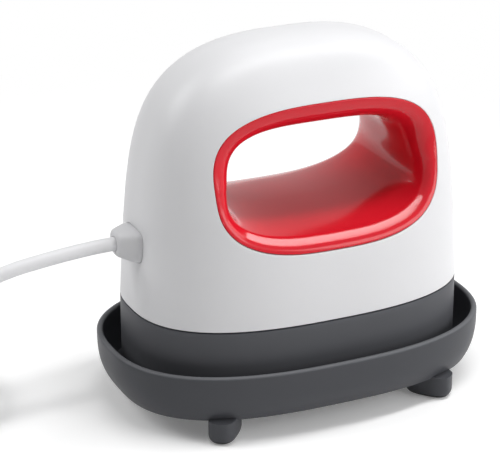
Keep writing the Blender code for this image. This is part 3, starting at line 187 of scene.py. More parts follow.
def mesh_piece(name, points, faces, sharp=35):
    """A piece from its points and faces, with doubles merged, faces turned outwards, and shaded smooth
    except at edges that bend by more than the sharp angle."""
    mesh = bpy.data.meshes.new(name)
    mesh.from_pydata(points.tolist(), [], faces)
    work = bmesh.new()
    work.from_mesh(mesh)
    bmesh.ops.remove_doubles(work, verts=work.verts, dist=MERGE_DISTANCE)
    bmesh.ops.recalc_face_normals(work, faces=work.faces)
    work.to_mesh(mesh)
    work.free()
    mesh.shade_smooth()
    mesh.set_sharp_from_angle(angle=np.radians(sharp))
    piece = bpy.data.objects.new(name, mesh)
    bpy.context.scene.collection.objects.link(piece)
    return piece


def tube(name, line, radius, sides):
    """A round tube: at each point of the line a circle in the plane across it, whose axes are the level
    direction across the line and the cross product of the two."""
    slope = unit(np.gradient(line, axis=0))
    level = unit(np.cross(slope, (0, 0, 1)))
    upward = np.cross(level, slope)
    angle = np.linspace(0, 2 * np.pi, sides, endpoint=False)[None, :, None]
    rings = line[:, None] + radius * (np.cos(angle) * level[:, None] + np.sin(angle) * upward[:, None])
    return make_piece(name, rings)


def set_inputs(node, values):
    """Sets the named inputs of a shader node; an underscore in a name stands for a space."""
    for name, value in values.items():
        node.inputs[name.replace("_", " ")].default_value = value
    return node


def add_node(tree, kind, **values):
    """Adds a shader node of a kind and sets its named inputs."""
    return set_inputs(tree.nodes.new("ShaderNode" + kind), values)


def wire(tree, *rows):
    """Links outputs to inputs, from rows of a node, its output, the next node and its input."""
    for source, output, target, entry in rows:
        tree.links.new(source.outputs[output], target.inputs[entry])


def new_group(name, outputs=("Color", "Roughness", "Height"), **inputs):
    """A node group with the named outputs, and with inputs that are listed by kind; also its input,
    output and coordinate nodes."""
    group = bpy.data.node_groups.new(name, "ShaderNodeTree")
    sockets = [("INPUT", kind, label) for kind, labels in inputs.items() for label in labels]
    sockets += [("OUTPUT", "Color" if label == "Color" else "Float", label) for label in outputs]
    for way, kind, label in sockets:
        group.interface.new_socket(name=label, in_out=way, socket_type="NodeSocket" + kind)
    given, taken = group.nodes.new("NodeGroupInput"), group.nodes.new("NodeGroupOutput")
    return group, given, taken, add_node(group, "TexCoord")


def mix_tones(group, given, taken, mask, **ends):
    """Lets the mask mix a group's two tones, and its two roughnesses between the mask's ends."""
    tones, spread = add_node(group, "Mix"), add_node(group, "MapRange", **ends)
    tones.data_type = "RGBA"
    wire(
        group,
        (mask, "Fac", tones, "Factor"),
        (given, "Tone", tones, "A"),
        (given, "Second Tone", tones, "B"),
        (mask, "Fac", spread, "Value"),
        (given, "Smoothest", spread, "To Min"),
        (given, "Roughest", spread, "To Max"),
        (tones, "Result", taken, "Color"),
        (spread, "Result", taken, "Roughness"),
    )


def moulded_finish():
    """Node group for moulded and cast surfaces on Object coordinates: a broad soft noise mixes two tones
    and two roughnesses, and a fine noise gives the grain's height."""
    group, given, taken, place = new_group(
        "moulded_finish",
        Color=("Tone", "Second Tone"),
        Float=("Patch Scale", "Smoothest", "Roughest", "Grain Scale"),
    )
    patch, grain = add_node(group, "TexNoise", Detail=3), add_node(group, "TexNoise", Detail=2)
    mix_tones(group, given, taken, patch, From_Min=0.1, From_Max=0.9)
    wire(
        group,
        (place, "Object", patch, "Vector"),
        (place, "Object", grain, "Vector"),
        (given, "Patch Scale", patch, "Scale"),
        (given, "Grain Scale", grain, "Scale"),
        (grain, "Fac", taken, "Height"),
    )
    return group


moulded_group = moulded_finish()


def finished(name, group, look, depth, shader_values):
    """A material that takes its colour, its grain and, where the group gives it, its roughness from a
    node group: look holds the group's values, depth is the grain's height in metres, and the other
    values go on the shader's own sockets."""
    material = bpy.data.materials.new(name)
    material.use_nodes = True
    tree = material.node_tree
    shader = set_inputs(tree.nodes["Principled BSDF"], shader_values)
    surface, bump = add_node(tree, "Group"), add_node(tree, "Bump", Distance=depth)
    surface.node_tree = group
    set_inputs(surface, look)
    wire(
        tree,
        (surface, "Color", shader, "Base Color"),
        (surface, "Height", bump, "Height"),
        (bump, "Normal", shader, "Normal"),
    )
    if "Roughness" in surface.outputs:
        wire(tree, (surface, "Roughness", shader, "Roughness"))
    return material


def moulded(name, tone, second_tone, roughness, grain, depth, patch=30, **shader_values):
    """A material with the moulded finish: grain and patch are the scales of its two noises."""
    look = {"Tone": (*tone, 1), "Second Tone": (*second_tone, 1)}
    look["Patch Scale"], look["Grain Scale"] = patch, grain
    look["Smoothest"], look["Roughest"] = roughness
    return finished(name, moulded_group, look, depth, shader_values)


def paint(piece, material):
    """Gives a piece its one material."""
    piece.data.materials.clear()
    piece.data.materials.append(material)
    return piece


lead_sheath = moulded(
    "lead_sheath", (0.80, 0.80, 0.815), (0.83, 0.83, 0.845), (0.38, 0.46), 900, 0.00002, patch=60
)
lead = paint(tube("lead", lead_line, LEAD_DIAMETER / 2, 20), lead_sheath)
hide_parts("mains_cord", "cord_coil")

# Plug: a flat white moulding whose boot tapers back to the lead, with two flat plated blades that draw
# in to blunt tips.
plug_low, plug_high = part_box("plug_body")
plug_middle = ((plug_low.x + plug_high.x) / 2, (plug_low.z + plug_high.z) / 2)


def swell(value, power):
    """Sine or cosine raised to two over the power, keeping its sign, so that it walks a superellipse."""
    return np.sign(value) * np.abs(value) ** (2 / power)


def sections(half_width, half_height, power, count):
    """Rings of a superellipse: half widths times swelled cosine, half heights times swelled sine."""
    angle = np.linspace(0, 2 * np.pi, count, endpoint=False)
    sizes = np.broadcast_arrays(*np.atleast_1d(half_width, half_height, power))
    half_width, half_height, power = (size[:, None] for size in sizes)
    return half_width * swell(np.cos(angle), power), half_height * swell(np.sin(angle), power)


BLADE_POWER = 9
BLADE_SHARES = np.array([0.0, 0.86, 0.93, 0.97, 1.0])
BLADE_WIDTHS = np.array([1.0, 1.0, 0.90, 0.74, 0.50])
plug_profile = np.array(
    [
        # share of length, half width, half height, power
        (0.000, 0.0040, 0.0040, 2.0),
        (0.004, 0.0052, 0.0052, 2.0),
        (0.015, 0.0056, 0.0056, 2.0),
        (0.200, 0.0064, 0.0060, 2.2),
        (0.360, 0.0080, 0.0064, 2.6),
        (0.450, 0.0104, 0.0068, 3.2),
        (0.520, 0.0121, 0.0072, 3.8),
        (0.600, 0.0129, 0.0075, 4.0),
        (0.700, 0.0130, 0.0075, 4.0),
        (0.850, 0.0130, 0.0075, 4.0),
        (0.970, 0.0130, 0.0075, 4.0),
        (0.990, 0.0128, 0.0073, 4.0),
        (1.000, 0.0123, 0.0069, 4.0),
    ]
)
plug_line = through(plug_profile[:, :3], 4)
plug_power = np.interp(plug_line[:, 0], plug_profile[:, 0], plug_profile[:, 3])
plug_x, plug_z = sections(plug_line[:, 1], plug_line[:, 2], plug_power, count=64)
plug_y = plug_low.y + (plug_high.y - plug_low.y) * plug_line[:, :1]
plug_rings = grid_points(plug_middle[0] + plug_x, plug_y, plug_middle[1] + plug_z)
soft_white = moulded(
    "soft_white", (0.78, 0.78, 0.795), (0.81, 0.81, 0.825), (0.42, 0.50), 1400, 0.00002, patch=45
)
plug = paint(make_piece("plug", plug_rings), soft_white)
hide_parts("plug_body")
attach(plug, "root")
blade_plating = moulded(
    "blade_plating", (0.72, 0.66, 0.50), (0.76, 0.71, 0.56), (0.20, 0.30), 3000, 0.00001, Metallic=1.0
)
for number in (1, 2):
    low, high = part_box(f"plug_blade_{number}")
    middle, half = (low + high) / 2, (high - low) / 2
    x, z = sections(half.x * BLADE_WIDTHS, half.z * (1 + BLADE_WIDTHS) / 2, BLADE_POWER, count=40)
    y = low.y + (high.y - low.y) * BLADE_SHARES[:, None]
    rings = grid_points(middle.x + x, y, middle.z + z)
    blade = paint(make_piece(f"blade_{number}", rings), blade_plating)
    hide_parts(f"plug_blade_{number}")
    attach(blade, "root")

# Lead tie: a narrow black strap that goes round all the turns on the far side of the coil, closed,
# with a fine plain weave on its face.
TIE_WIDTH = 0.0120
TIE_WALL = 0.0008
TIE_POWER, STRAP_POWER = 10, 6
tie_low, tie_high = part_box("cord_tie")
tie_middle = (tie_low + tie_high) / 2
tie_half = (tie_high - tie_low) / 2


def weave_finish():
    """Node group for woven straps: two crossed waves along and across the piece's own UV map give the
    yarns' height, and their product darkens the gaps between the yarns."""
    group, given, taken, place = new_group(
        "weave_finish", ("Color", "Height"), Color=("Yarn", "Gap"), Float=("Count",)
    )
    kinds = ("TexWave", "TexWave", "Math", "Mix")
    warp, weft, crossing, tones = (add_node(group, kind) for kind in kinds)
    warp.bands_direction, weft.bands_direction = "X", "Y"
    crossing.operation = "MULTIPLY"
    tones.data_type = "RGBA"
    for number, wave in enumerate((warp, weft)):
        wire(
            group,
            (place, "UV", wave, "Vector"),
            (given, "Count", wave, "Scale"),
            (wave, "Fac", crossing, number),
        )
    wire(
        group,
        (crossing, "Value", tones, "Factor"),
        (given, "Gap", tones, "A"),
        (given, "Yarn", tones, "B"),
        (tones, "Result", taken, "Color"),
        (crossing, "Value", taken, "Height"),
    )
    return group


def unwrap(piece, along, across):
    """Gives each corner of each face its point's place along and across the piece, in metres, as UVs."""
    layer = piece.data.uv_layers.new(name="UVMap")
    corner = np.empty(len(piece.data.loops), np.int32)
    piece.data.loops.foreach_get("vertex_index", corner)
    place = np.stack([along[corner], across[corner]], axis=-1)
    layer.data.foreach_set("uv", place.astype(np.float32).ravel())
    return piece


def strap(name, outline, middle, width, wall):
    """A strap bent along a closed outline in Y and Z: its section is a rounded rectangle, wall thick and
    width wide, carried round the outline on the line's own normals."""
    slope = unit(np.roll(outline, -1, axis=0) - np.roll(outline, 1, axis=0))
    normal = np.stack([slope[:, 1], -slope[:, 0]], axis=-1)
    across, out = sections(width / 2, wall / 2, STRAP_POWER, count=24)
    place = outline[:, None] + normal[:, None] * out[..., None]
    rings = grid_points(middle.x + across, middle.y + place[..., 0], middle.z + place[..., 1])
    piece = make_piece(name, rings, closed=True, sharp=60)
    points = np.empty(3 * len(piece.data.vertices), np.float32)
    piece.data.vertices.foreach_get("co", points)
    x, y, z = points.reshape(-1, 3).T.astype(float)
    return unwrap(piece, np.where(np.abs(z - middle.z) > np.abs(y - middle.y) / 2, y, z), x)


tie_outline = np.concatenate(
    sections(tie_half.y - TIE_WALL / 2, tie_half.z - TIE_WALL / 2, TIE_POWER, count=120)
).T
strap_weave = finished(
    "strap_weave",
    weave_finish(),
    {"Yarn": (0.035, 0.035, 0.038, 1), "Gap": (0.008, 0.008, 0.009, 1), "Count": 900},
    0.0001,
    {"Roughness": 0.85, "Sheen Weight": 0.2},
)
tie = paint(strap("tie", tie_outline, tie_middle, TIE_WIDTH, TIE_WALL), strap_weave)
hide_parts("cord_tie")
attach(tie, "root")
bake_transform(lead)

# Outer shell: one white satin moulding, 2.4 mm thick, wider at the foot and crowned on top, with the
# hand hole right through it and an opening in each end wall.
HOUSING_HALF = (0.0950, 0.0597)
SHELL_FOOT = 0.0608
SHELL_HEIGHT = 0.1440
SHELL_WALL = 0.0024
TAPERS = (0.102, 0.096)
CROWNS = ((5.537, 2.540), (1.826, 2.793))
SEAM_POWER, CREST_POWER = 2.597, 3.128
HOLE_MIDDLE = (0.0030, 0.1338)
HOLE_HALF_LENGTH, HOLE_RISE, HOLE_DROP = 0.0659, 0.0409, 0.0346
HOLE_POWERS = (2.859, 2.946)
HOLE_SPREAD = 0.0377
GAP = 0.0003
TINY = 1e-9
SHELL_EDGE, PANEL_EDGE = 0.0004, 0.0003
EDGE_SEGMENTS, EDGE_ANGLE = 2, np.radians(50)
BAR_ENDS = np.array([0.07, 0.11])


def housing(height):
    """Half length, half width and superellipse power of the housing at a height.  Each half size falls
    evenly by its taper and is drawn in towards the crest by (1 - level^a)^(1/b)."""
    level = np.clip((height - SHELL_FOOT) / SHELL_HEIGHT, 0, 1)
    half_length, half_width = (
        half * (1 - taper * level) * (1 - level**a) ** (1 / b)
        for half, taper, (a, b) in zip(HOUSING_HALF, TAPERS, CROWNS)
    )
    return half_length, half_width, SEAM_POWER + (CREST_POWER - SEAM_POWER) * level


def stand_out(run, half_run, half_out, power):
    """How far a superellipse stands out: half out times (1 - (run / half run)^p)^(1/p)."""
    share = np.clip(np.abs(run) / np.maximum(half_run, TINY), 0, 1) ** power
    return half_out * (1 - share) ** (1 / power)


def face_depth(across, height):
    """How far the front face stands out at a place across it."""
    half_length, half_width, power = housing(height)
    return stand_out(across, half_length, half_width, power)


def end_reach(along, height):
    """How far the end wall stands out at a place along it."""
    half_length, half_width, power = housing(height)
    return stand_out(along, half_width, half_length, power)


def hole_outline(angle, insets, powers, spread, grow=0.0):
    """Rim or throat of the hand hole seen from the front: a superellipse with other heights and powers
    above and below, that gets wider upwards by the spread."""
    upper = np.sin(angle) >= 0
    power = np.where(upper, powers[0], powers[1])
    height = np.where(upper, HOLE_RISE - insets[1], HOLE_DROP - insets[2]) + grow
    rise = height * swell(np.sin(angle), power)
    run = (HOLE_HALF_LENGTH - insets[0] + grow) * swell(np.cos(angle), power)
    return HOLE_MIDDLE[0] + run * (1 + spread * rise / HOLE_RISE), HOLE_MIDDLE[1] + rise


def border(side_count, foot_count):
    """The shell's outline seen from the front: up the right side, over the crest, down the left side,
    then along the foot.  Steps shrink towards the crest and the corners as sines do."""
    climb = np.sin(np.linspace(0, np.pi / 2, side_count + 1))
    height = SHELL_FOOT + SHELL_HEIGHT * np.concatenate([climb, climb[-2::-1]])
    side = np.concatenate([np.ones(side_count), [0], -np.ones(side_count)])
    across = side * housing(height)[0]
    sweep = np.linspace(np.pi, 0, foot_count + 1)[1:-1]
    foot = HOUSING_HALF[0] * swell(np.cos(sweep), SEAM_POWER)
    return np.concatenate([across, foot]), np.concatenate([height, np.full_like(foot, SHELL_FOOT)])


def shell_skin(rows=44, side_count=80, foot_count=64):
    """The shell's outer skin: straight lines seen from the front run from the hole's rim to the outline,
    as rim + (outline - rim) cos(a), and each point stands out by the face depth there."""
    edge_x, edge_z = border(side_count, foot_count)
    run = (edge_x - HOLE_MIDDLE[0]) / HOUSING_HALF[0]
    rise = (edge_z - HOLE_MIDDLE[1]) / (SHELL_HEIGHT / 2)
    power = np.mean(HOLE_POWERS) / 2
    angle = np.arctan2(np.sign(rise) * np.abs(rise) ** power, np.sign(run) * np.abs(run) ** power)
    rim_x, rim_z = hole_outline(angle, (0, 0, 0), HOLE_POWERS, HOLE_SPREAD, GAP)
    share = np.cos(np.linspace(np.pi / 2, 0, rows))[:, None]
    x = rim_x + (edge_x - rim_x) * share
    z = rim_z + (edge_z - rim_z) * share
    y = face_depth(x, z)
    return [grid_points(x, way * y, z) for way in (-1, 1)]


def add_wall(piece, edge):
    """Gives a skin its wall inwards, then rounds its edges."""
    solid = piece.modifiers.new("wall", "SOLIDIFY")
    solid.thickness = SHELL_WALL
    solid.offset = -1
    solid.use_even_offset = True
    round_edges(piece, edge)


def round_edges(piece, width):
    """Rounds the edges that bend by more than the edge angle, with a Bevel."""
    rounding = piece.modifiers.new("rounding", "BEVEL")
    rounding.width = width
    rounding.segments = EDGE_SEGMENTS
    rounding.limit_method = "ANGLE"
    rounding.angle_limit = EDGE_ANGLE
    rounding.use_clamp_overlap = True
    return piece


def end_bar(name, half_y, half_z, power, middle_z, side=1, count=96):
    """A bar along X through the end wall on one side, of superellipse section, to cut an opening with."""
    y, z = sections(half_y, half_z, power, count)
    return make_piece(name, grid_points(np.sort(side * BAR_ENDS)[:, None], y, middle_z + z))


def combine(piece, other, operation):
    """Adds a Boolean to a piece, with another shape."""
    boolean = piece.modifiers.new("boolean", "BOOLEAN")
    boolean.operation = operation
    boolean.solver = "EXACT"
    boolean.object = other
    return piece


def settle(piece, sharp=35):
    """Applies a piece's modifiers to its mesh, and shades the result smooth except at sharp edges."""
    bpy.context.view_layer.update()
    evaluated = piece.evaluated_get(bpy.context.evaluated_depsgraph_get())
    mesh = bpy.data.meshes.new_from_object(evaluated)
    piece.modifiers.clear()
    piece.data = mesh
    mesh.name = piece.name
    mesh.shade_smooth()
    mesh.set_sharp_from_angle(angle=np.radians(sharp))


def open_wall(piece, bars):
    """Cuts bars out of a piece, applies its modifiers, and removes the bars."""
    for bar in bars:
        combine(piece, bar, "DIFFERENCE")
    settle(piece)
    for bar in bars:
        bpy.data.objects.remove(bar)


RELIEF_HALF = (0.0122, 0.0090)
RELIEF_POWER, RELIEF_SINK = 3.8, 0.0013
PANEL_HALF = (0.0170, 0.0280)
PANEL_MIDDLE = 0.1248
SQUARE_POWER = 5.0
shell = make_piece("shell", *shell_skin(), capped=False)
add_wall(shell, SHELL_EDGE)
relief_half, panel_half = ([size + GAP for size in sizes] for sizes in (RELIEF_HALF, PANEL_HALF))
relief_bar = end_bar("relief_bar", *relief_half, RELIEF_POWER, BOOT_HEIGHT - RELIEF_SINK, -1)
open_wall(shell, [relief_bar, end_bar("panel_bar", *panel_half, SQUARE_POWER, PANEL_MIDDLE)])
shell_white = moulded(
    "shell_white", (0.745, 0.745, 0.760), (0.755, 0.755, 0.770), (0.38, 0.42), 2600, 0.000003, patch=40
)
paint(shell, shell_white)
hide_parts("outer_shell")
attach(shell, "press")

# Grip liner: two glossy red mouldings that flare from the middle of the hand hole out to its rims and
# meet in the middle, held to each other by screws through lugs above and below the tunnel.
THROAT_INSETS = (0.0125, 0.0169, 0.0105)
THROAT_POWERS = (4.063, 2.902)
THROAT_SPREAD = -0.140
SIDE_FLARE, TOP_FLARE, LOW_FLARE = 2.789, 2.528, 1.7
LINER_WALL = 0.0022
LIP_ROUND = 0.0005
PARTING = 0.000004
LIP_STEPS, LIP_REACH = 80, 1.5
# how steeply the lower front lip falls, in degrees, at each length of its curve inwards from the rim
LIP_LENGTHS = (0, 0.0042, 0.0084, 0.0099, 0.0470)
LIP_SLOPES = ((90, 46), (43.5, 40.5), (35, 10), (9, 0))
lip_length, lip_slope = (
    np.concatenate([np.linspace(*ends, LIP_STEPS) for ends in pairs])
    for pairs in (zip(LIP_LENGTHS, LIP_LENGTHS[1:]), LIP_SLOPES)
)
lip_advance = np.diff(lip_length, prepend=0)
lip_run, lip_rise = (np.cumsum(lip_advance * part(np.radians(lip_slope))) for part in (np.cos, np.sin))
lip_depth, lip_share = 1 - lip_run / lip_run[-1], lip_rise / lip_rise[-1]


def close_angles(count):
    """Angles all round that stand closer near each quarter turn, by a smooth step within each quarter,
    so that a squarish outline gets even steps."""
    quarter, part = np.divmod(np.arange(count) * 4 / count, 1)
    return (quarter + part**2 * (3 - 2 * part)) * np.pi / 2


def flare(side, wall, shares, turn=0.0):
    """The tunnel's surface: from the throat's outline to the rim's, the throat's share being
    (1 - depth^p)^(1/p), with p running from the side value to the upright one as sine squared.  Below
    the middle of the front half the rolled lip takes over, by a share that grows as sine squared.  At
    the rim a quarter round takes over, round by the turn: cosine outwards, sine across the edge."""
    angle = close_angles(320)
    rim_x, rim_z = hole_outline(angle, (0, 0, 0), HOLE_POWERS, HOLE_SPREAD)
    throat_x, throat_z = hole_outline(angle, THROAT_INSETS, THROAT_POWERS, THROAT_SPREAD, wall)
    lower = np.sin(angle) < 0
    upright = np.where(lower & (side > 0), LOW_FLARE, TOP_FLARE)
    power = SIDE_FLARE + (upright - SIDE_FLARE) * np.sin(angle) ** 2
    depth = shares[:, None]
    narrowing = (1 - np.clip(depth, 0, 1) ** power) ** (1 / power)
    if side < 0:
        rolled = np.interp(depth, lip_depth[::-1], lip_share[::-1])
        narrowing = narrowing + (rolled - narrowing) * np.clip(-LIP_REACH * np.sin(angle), 0, 1) ** 2
    span = np.hypot(throat_x - rim_x, throat_z - rim_z)
    rounding = LIP_ROUND * (1 - np.sin(turn)) * (wall == 0)
    narrowing = np.maximum(narrowing, rounding / span)
    x = rim_x + (throat_x - rim_x) * narrowing
    z = rim_z + (throat_z - rim_z) * narrowing
    out = (face_depth(rim_x, rim_z) - wall) * depth - LIP_ROUND * (1 - np.cos(turn))
    return grid_points(x, side * np.maximum(out, PARTING), z)


liner_red = moulded(
    "liner_red", (0.66, 0.010, 0.022), (0.68, 0.012, 0.026), (0.11, 0.14), 500, 0.000002,
    patch=18, IOR=1.40,
)
for name, side in (("grip_liner_front", -1), ("grip_liner_rear", 1)):
    shares = np.sin(np.linspace(0, np.pi / 2, 110))
    lip = [flare(side, 0, np.ones(1), turn) for turn in np.linspace(0, np.pi / 2, 5)[1:]]
    rings = np.concatenate([flare(side, 0, shares), *lip, flare(side, LINER_WALL, shares[::-1])])
    liner = make_piece(name.replace("grip_", ""), rings, closed=True, sharp=60)
    paint(liner, liner_red)
    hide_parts(name)
    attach(liner, "press")

# Strain relief: a soft white boot moulded round the lead.  Its rounded square foot fills the opening
# in the end wall, and it draws in and a little up to a blunt collar with the lead in its mouth.
RELIEF_LEVEL = 0.0092
relief_root = float(end_reach(0.0, BOOT_HEIGHT))
relief_profile = np.array(
    [
        # distance out of the wall, half size along, half size up, power
        (-0.0060, *RELIEF_HALF, RELIEF_POWER),
        (-0.0010, *RELIEF_HALF, RELIEF_POWER),
        (0.0008, *RELIEF_HALF, RELIEF_POWER),
        (0.0018, 0.0121, 0.0089, 3.8),
        (0.0030, 0.0116, 0.0087, 3.7),
        (0.0050, 0.0105, 0.0082, 3.5),
        (0.0075, 0.0091, 0.0076, 3.3),
        (0.0092, 0.0081, 0.0071, 3.1),
        (0.0102, 0.0074, 0.0067, 2.9),
        (0.0108, 0.0064, 0.0059, 2.6),
        (0.0110, 0.0052, 0.0050, 2.2),
        (0.0109, 0.0043, 0.0043, 2.0),
        (0.0103, 0.0040, 0.0040, 2.0),
        (0.0070, 0.0039, 0.0039, 2.0),
    ]
)
relief_line = through(relief_profile[:, :3], 4)
relief_step = np.arange(len(relief_line)) / 4
relief_power = np.interp(relief_step, np.arange(len(relief_profile)), relief_profile[:, 3])
relief_y, relief_z = sections(relief_line[:, 1], relief_line[:, 2], relief_power, count=96)
# the boot's foot sits a little lower than the lead, and its middle rises to the lead's height
relief_drop = RELIEF_SINK * np.clip(1 - relief_line[:, :1] / RELIEF_LEVEL, 0, 1)
relief_x = -relief_root - relief_line[:, :1]
relief_rings = grid_points(relief_x, relief_y, BOOT_HEIGHT - relief_drop + relief_z)
boot_white = moulded(
    "boot_white", (0.66, 0.66, 0.675), (0.69, 0.69, 0.705), (0.42, 0.50), 1400, 0.00002, patch=45
)
relief = paint(make_piece("boot", relief_rings, sharp=50), boot_white)
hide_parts("strain_relief")
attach(relief, "press")

# Lower housing: a dark grey heat-resistant skirt, flush with the shell above a fine shadow gap.  A
# tongue stands up inside the shell, and a deck across it carries the hot plate's stack.
SKIRT_FOOT, SKIRT_TOP = 0.0202, 0.0598
SKIRT_WALL = 0.0030
TONGUE_INSET, TONGUE_WALL = 0.0027, 0.0018
TONGUE_RISE = 0.0056
DECK_TOP, DECK_FOOT = 0.0500, 0.0475
SKIRT_EDGE = 0.0004


def housing_rings(steps):
    """Rings of the housing's foot outline, from pairs of height and inset."""
    heights, insets = np.array(steps).T
    x, y = sections(HOUSING_HALF[0] - insets, HOUSING_HALF[1] - insets, SEAM_POWER, count=256)
    return grid_points(x, y, heights[:, None])


skirt_steps = [
    (DECK_FOOT, SKIRT_WALL),
    (SKIRT_FOOT, SKIRT_WALL),
    (SKIRT_FOOT, 0),
    *[(height, 0) for height in np.linspace(SKIRT_FOOT, SKIRT_TOP, 12)[1:]],
    (SKIRT_TOP, TONGUE_INSET),
    (SKIRT_TOP + TONGUE_RISE, TONGUE_INSET),
    (SKIRT_TOP + TONGUE_RISE, TONGUE_INSET + TONGUE_WALL),
    (DECK_TOP, TONGUE_INSET + TONGUE_WALL),
]
skirt = make_piece("skirt", housing_rings(skirt_steps))
settle(round_edges(skirt, SKIRT_EDGE))
housing_grey = moulded(
    "housing_grey", (0.082, 0.084, 0.093), (0.090, 0.092, 0.101), (0.46, 0.54), 3200, 0.000012,
    patch=25, IOR=1.30,
)
paint(skirt, housing_grey)
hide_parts("lower_housing")
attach(skirt, "press")

# Safety tray: a dark grey moulded bowl that the hot press is set down in, with a rounded rim whose top
# has a painted highlight, a little lighter, and four oval feet that point to its corners, each with a
# rubber pad let into its end.
TRAY_HALF = (0.10845, 0.07105)
TRAY_FOOT = 0.0126
TRAY_RIM = 0.0397
TRAY_WALL, TRAY_FLOOR = 0.0033, 0.0030
TRAY_POWERS = (2.53, 2.72)
TRAY_BASE_INSET = 0.0064
TRAY_TURN_POWER = 2.94
FOOT_HALF = (0.0142, 0.0091)
FOOT_PLACE = (0.0622, 0.0512)
FOOT_TURN = np.radians(50)
FOOT_POWER = 2.8
FOOT_DRAFT, FOOT_ROUND = 0.0013, 0.0044
PAD_TOP = 0.0020
SHOULDER_FOOT, SHOULDER_TOP, SHOULDER_REACH = 0.0050, 0.0137, 0.0085
LEG_HEIGHTS = np.array([PAD_TOP + GAP, 0.0028, 0.0034, 0.0044, *np.linspace(0.0060, 0.0188, 17)])
PAD_SPREAD = 1.5
# painted highlight: between these heights the rim's top is mixed to a lighter tone that stands in for
# light caught on the round rim
HIGHLIGHT_FOOT, HIGHLIGHT_TOP = TRAY_RIM - 0.0015, TRAY_RIM - 0.0003
PAINTED_HIGHLIGHT_TONE = (0.125, 0.128, 0.138, 1)


def tray_outline(depth):
    """Half length, half width and power of the tray: towards the underside its outline draws in, and
    gets squarer, as depth to a power."""
    turned_in = depth**TRAY_TURN_POWER
    half_length, half_width = (size - TRAY_BASE_INSET * turned_in for size in TRAY_HALF)
    return half_length, half_width, TRAY_POWERS[0] + (TRAY_POWERS[1] - TRAY_POWERS[0]) * turned_in


def tray_rings(depth, inset, height):
    """The tray's sections at each depth; the inset gives the inner side."""
    half_length, half_width, power = tray_outline(depth)
    x, y = sections(half_length - inset, half_width - inset, power, count=256)
    return grid_points(x, y, height[:, None])


def foot_shrink(height):
    """How much a foot is drawn in at a height: the draft, plus a quarter round off its lower edge."""
    return FOOT_DRAFT + FOOT_ROUND - np.sqrt(FOOT_ROUND**2 - np.maximum(0, FOOT_ROUND - height) ** 2)


def foot_rings(side_x, side_y, height, count):
    """A foot's oval sections, turned to point at the tray's corner."""
    turn = np.arctan2(side_y * np.sin(FOOT_TURN), side_x * np.cos(FOOT_TURN))
    shrink = foot_shrink(height)
    u, v = sections(FOOT_HALF[0] - shrink, FOOT_HALF[1] - shrink, FOOT_POWER, count)
    x = side_x * FOOT_PLACE[0] + u * np.cos(turn) - v * np.sin(turn)
    y = side_y * FOOT_PLACE[1] + u * np.sin(turn) + v * np.cos(turn)
    return grid_points(x, y, height[:, None])


def leg_shoulder(rings, height):
    """Draws a leg's top in to the tray's wall: the reach past the tray's outline falls over the
    shoulder by (1 - rise^4)^(1/4), and points beyond the reach move towards the tray's middle."""
    rise = (height - SHOULDER_FOOT) / (SHOULDER_TOP - SHOULDER_FOOT)
    reach = SHOULDER_REACH * (1 - np.clip(rise, 0, 1) ** 4) ** 0.25
    reach = np.where(rise < 1, reach, -TRAY_WALL / 4)[:, None]
    depth = np.clip((TRAY_RIM - round_rim - height) / wall_depth, 0, 1)
    half_length, half_width, power = tray_outline(depth[:, None])
    run = np.abs(rings[..., 0]) / (half_length + reach)
    side = np.abs(rings[..., 1]) / (half_width + reach)
    out = np.maximum((run**power + side**power) ** (1 / power), 1)
    return rings / grid_points(out, out, 1)


round_rim = TRAY_WALL / 2
wall_depth = TRAY_RIM - round_rim - TRAY_FOOT
outside = np.cos(np.linspace(0, np.pi / 2, 24))
over = np.linspace(0, np.pi, 13)[1:-1]
rim_height = TRAY_RIM - round_rim * (1 - np.sin(over))
floor_share = (wall_depth - TRAY_FLOOR) / wall_depth
inside = np.sin(np.linspace(0, np.pi / 2, 24)) * floor_share
tray_bowl = np.concatenate(
    [
        tray_rings(outside, 0, TRAY_RIM - round_rim - wall_depth * outside),
        tray_rings(np.zeros_like(over), round_rim * (1 - np.cos(over)), rim_height),
        tray_rings(inside, TRAY_WALL, TRAY_RIM - round_rim - wall_depth * inside),
    ]
)
tray = make_piece("tray", tray_bowl)
corners = [(1, 1), (-1, 1), (-1, -1), (1, -1)]
core_depth = np.cos(np.linspace(0, np.pi / 2, 16))
core_height = TRAY_RIM - (TRAY_RIM - TRAY_FOOT - TRAY_FLOOR / 2) * core_depth
core = make_piece("core", tray_rings(core_depth, TRAY_WALL / 2, core_height))
legs = []
for number, (side_x, side_y) in enumerate(corners, 1):
    leg_rings = leg_shoulder(foot_rings(side_x, side_y, LEG_HEIGHTS, count=120), LEG_HEIGHTS)
    leg = make_piece(f"leg_{number}", leg_rings)
    settle(combine(leg, core, "DIFFERENCE"))
    combine(tray, leg, "UNION")
    legs.append(leg)
settle(tray, 40)
for shape in (*legs, core):
    bpy.data.objects.remove(shape)
tray_grey = moulded(
    "tray_grey", (0.060, 0.062, 0.070), (0.068, 0.070, 0.078), (0.40, 0.48), 3000, 0.000020,
    patch=22, IOR=1.30,
)
